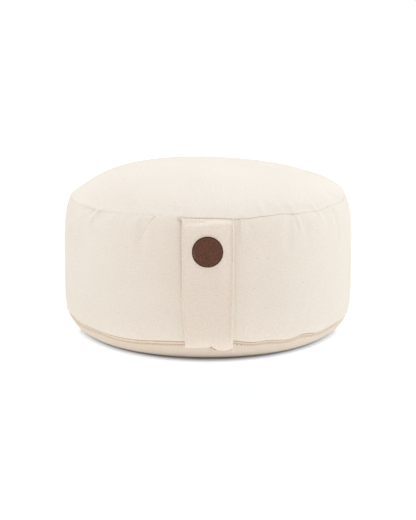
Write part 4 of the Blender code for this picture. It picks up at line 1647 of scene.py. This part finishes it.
def thread_material(name, light, dark):
    """Spun sewing thread: a tight twist of two plies, a little shiny."""
    material, tree, shader = new_material(name)
    place = add_node(tree, "ShaderNodeTexCoord").outputs["Object"]
    fine = {"Vector": place, "Scale": (1 / THREAD_GRAIN,) * 3}
    fine = add_node(tree, "ShaderNodeMapping", {}, fine).outputs["Vector"]
    tone = noise(tree, fine, 2.0)
    colour = mixed(tree, ranged(tree, tone, 0.3, 0.7), dark, light)
    bump = {"Height": tone, "Strength": 0.5, "Distance": THREAD_RELIEF}
    shade(tree, shader, colour, bump, {"Roughness": 0.6})
    return material


THREAD_COLOURS = {
    # thread: (name, light, dark)
    # tan, sand and pale paint the seam groove's shade into the thread; buff paints the needle holes'
    # shade; grey paints a glint
    "tan": ("polyester_thread_painted_deep_shade", "E3BE96", "CFA67C"),
    "sand": ("polyester_thread_painted_seam_shade", "DCC6A8", "C9AE8D"),
    "buff": ("buff_polyester_thread_painted_hole_shade", "CFA273", "B08556"),
    "rust": ("rust_polyester_thread_spun", "9C6642", "7E4F32"),
    "pale": ("polyester_thread_painted_light_shade", "E9D8C2", "D4BEA3"),
    "cream": ("cream_cotton_thread_spun", "F5ECDF", "EADDCB"),
    "brown": ("brown_waxed_thread", "7A5444", "5A3A2E"),
    "grey": ("waxed_thread_painted_glint", "A08A80", "7E665C"),
}
THREADS = {thread: thread_material(*row) for thread, row in THREAD_COLOURS.items()}
print("threads:", sorted(THREADS))

# %% Where the rows run
PLACE_STEP = 0.5  # degrees between the places of a row
ZIP_STITCH_BELOW = 0.0012  # the folded edge of the bottom panel
EDGE_ROW_ENDS = (0.002, 0.003)  # the strap's edge rows stop this far from its top and its end
RING_SINK = 0.6 * PATCH_DENT


def lower_seam_places(start, end):
    """Places just below the zip, between two azimuths."""
    azimuth = np.arange(start, end, PLACE_STEP)
    return azimuth, hem_arc(azimuth) - zip_width(azimuth) - ZIP_STITCH_BELOW, 0 * azimuth


def strap_edge_places(from_left):
    """The furrow at this distance from the strap's left edge, as azimuths, arcs and heights."""
    across, azimuth, arc, from_top, from_end, outer, _ = strap_surfaces()
    column = int(np.argmin(np.abs(across[0] - from_left)))
    keep = from_top[:, column] > EDGE_ROW_ENDS[0]
    keep &= from_end[:, column] > EDGE_ROW_ENDS[1]
    return azimuth[keep, column], arc[keep, column], outer[keep, column]


def strap_end_places(first, last):
    """Places along the strap's lower edge, between two shares of its width."""
    across, azimuth, arc, _, _, outer, _ = strap_surfaces()
    keep = (across[0] > first * STRAP_WIDTH) & (across[0] < last * STRAP_WIDTH)
    return azimuth[0, keep], arc[0, keep], outer[0, keep]


def seam_places(start, end):
    """Places on the top seam, between two azimuths."""
    azimuth = np.arange(start, end, PLACE_STEP)
    arc = seam_arc(azimuth)
    height = cloth_relief(azimuth, np.full_like(azimuth, 2.0), arc) + seam_profile(azimuth, 0.0)
    return azimuth, arc, height


def ring_places(start, turns, count):
    """Places round the patch's stitch ring, and the height of the leather there."""
    turn = start + np.linspace(0.0, 2 * math.pi * turns, count, endpoint=turns < 1.0)
    azimuth, arc, back = patch_place(PATCH_STITCH_RADIUS, turn)
    return azimuth, arc, back + PATCH_THICKNESS - RING_SINK


PLACES = {
    "left_seam": seam_places(-180.0, -10.4),
    "strap_seam": seam_places(-9.2, 9.7),
    "near_seam": seam_places(10.4, 38.0),
    "far_seam": seam_places(38.0, 180.0),
    "left_zip": lower_seam_places(-ZIP_HALF_ANGLE, -10.4),
    "zip_end": lower_seam_places(9.9, 13.2),
    "right_zip": lower_seam_places(13.4, ZIP_HALF_ANGLE),
    "left_strap": strap_edge_places(FURROW_OFFSET),
    "right_strap": strap_edge_places(STRAP_WIDTH - FURROW_OFFSET),
    "strap_end": strap_end_places(0.63, 0.97),
    "loose_end": strap_end_places(0.55, 0.61),
    "patch": ring_places(0.0, 1.0, 8 * PATCH_STITCHES),
    # painted glint: a short run of paler grey stitches on the patch's left side
    "worn_patch": ring_places(-0.50 * math.pi, -0.06, 24),
}
print("places in each row:", {row: len(places[0]) for row, places in PLACES.items()})

# %% Rows of stitches
RING_PITCH = 2 * math.pi * PATCH_STITCH_RADIUS / PATCH_STITCHES
RING_LENGTH = PATCH_STITCH_OUTER - PATCH_STITCH_INNER
STITCHES = {
    # kind: (pitch, length, thickness of the thread, rise, sink)
    "seam": (0.0032, 0.0036, 0.0006, 0.0001, 0.0001),
    "heavy seam": (0.0032, 0.0036, 0.0008, 0.0001, 0.0001),
    "zip": (0.0033, 0.0019, 0.0010, 0.0004, 0.0004),
    "zip end": (0.0032, 0.0024, 0.0008, 0.0004, 0.0004),
    "strap edge": (0.0030, 0.0026, 0.0004, 0.0001, 0.0001),
    "strap end": (0.0032, 0.0034, 0.0004, 0.0001, 0.0001),
    "loose end": (0.0026, 0.0030, 0.0010, 0.0002, 0.0001),
    "patch": (RING_PITCH, RING_LENGTH, 0.0006, 0.0003, 0.0003),
    "patch glint": (RING_PITCH, 0.0011, 0.0007, 0.0003, 0.0002),
}
ROWS = (
    # (row, the piece it is sewn to, thread, stitch, lift above the places)
    ("left_seam", "canvas", "cream", "seam", 0.0004),
    ("strap_seam", "canvas", "tan", "seam", 0.0006),
    ("near_seam", "canvas", "sand", "heavy seam", 0.0001),
    ("far_seam", "canvas", "pale", "seam", 0.0),
    # painted shade: the buff thread darkens the zip's dots as shaded needle holes
    ("left_zip", "zip_tape", "buff", "zip", 0.0001),
    ("zip_end", "zip_tape", "rust", "zip end", 0.0001),
    ("right_zip", "zip_tape", "buff", "zip", 0.0001),
    ("left_strap", "strap_canvas", "cream", "strap edge", -0.0001),
    ("right_strap", "strap_canvas", "cream", "strap edge", -0.0001),
    ("strap_end", "strap_canvas", "tan", "strap end", 0.0003),
    ("loose_end", "strap_canvas", "buff", "loose end", 0.0009),
    ("patch", "leather", "brown", "patch", 0.0),
    ("worn_patch", "leather", "grey", "patch glint", 0.0003),
)
for place, slot, thread, kind, lift in ROWS:
    turn = math.pi / 2 if slot == "leather" else 0.0
    closed = place == "patch"
    given = (PLACES[place], lift, THREADS[thread], STITCHES[kind], turn, closed)
    row = stitch_row(place + "_stitches", *given)
    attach(row, "root")
    print(row.name, len(row.data.polygons), "faces")
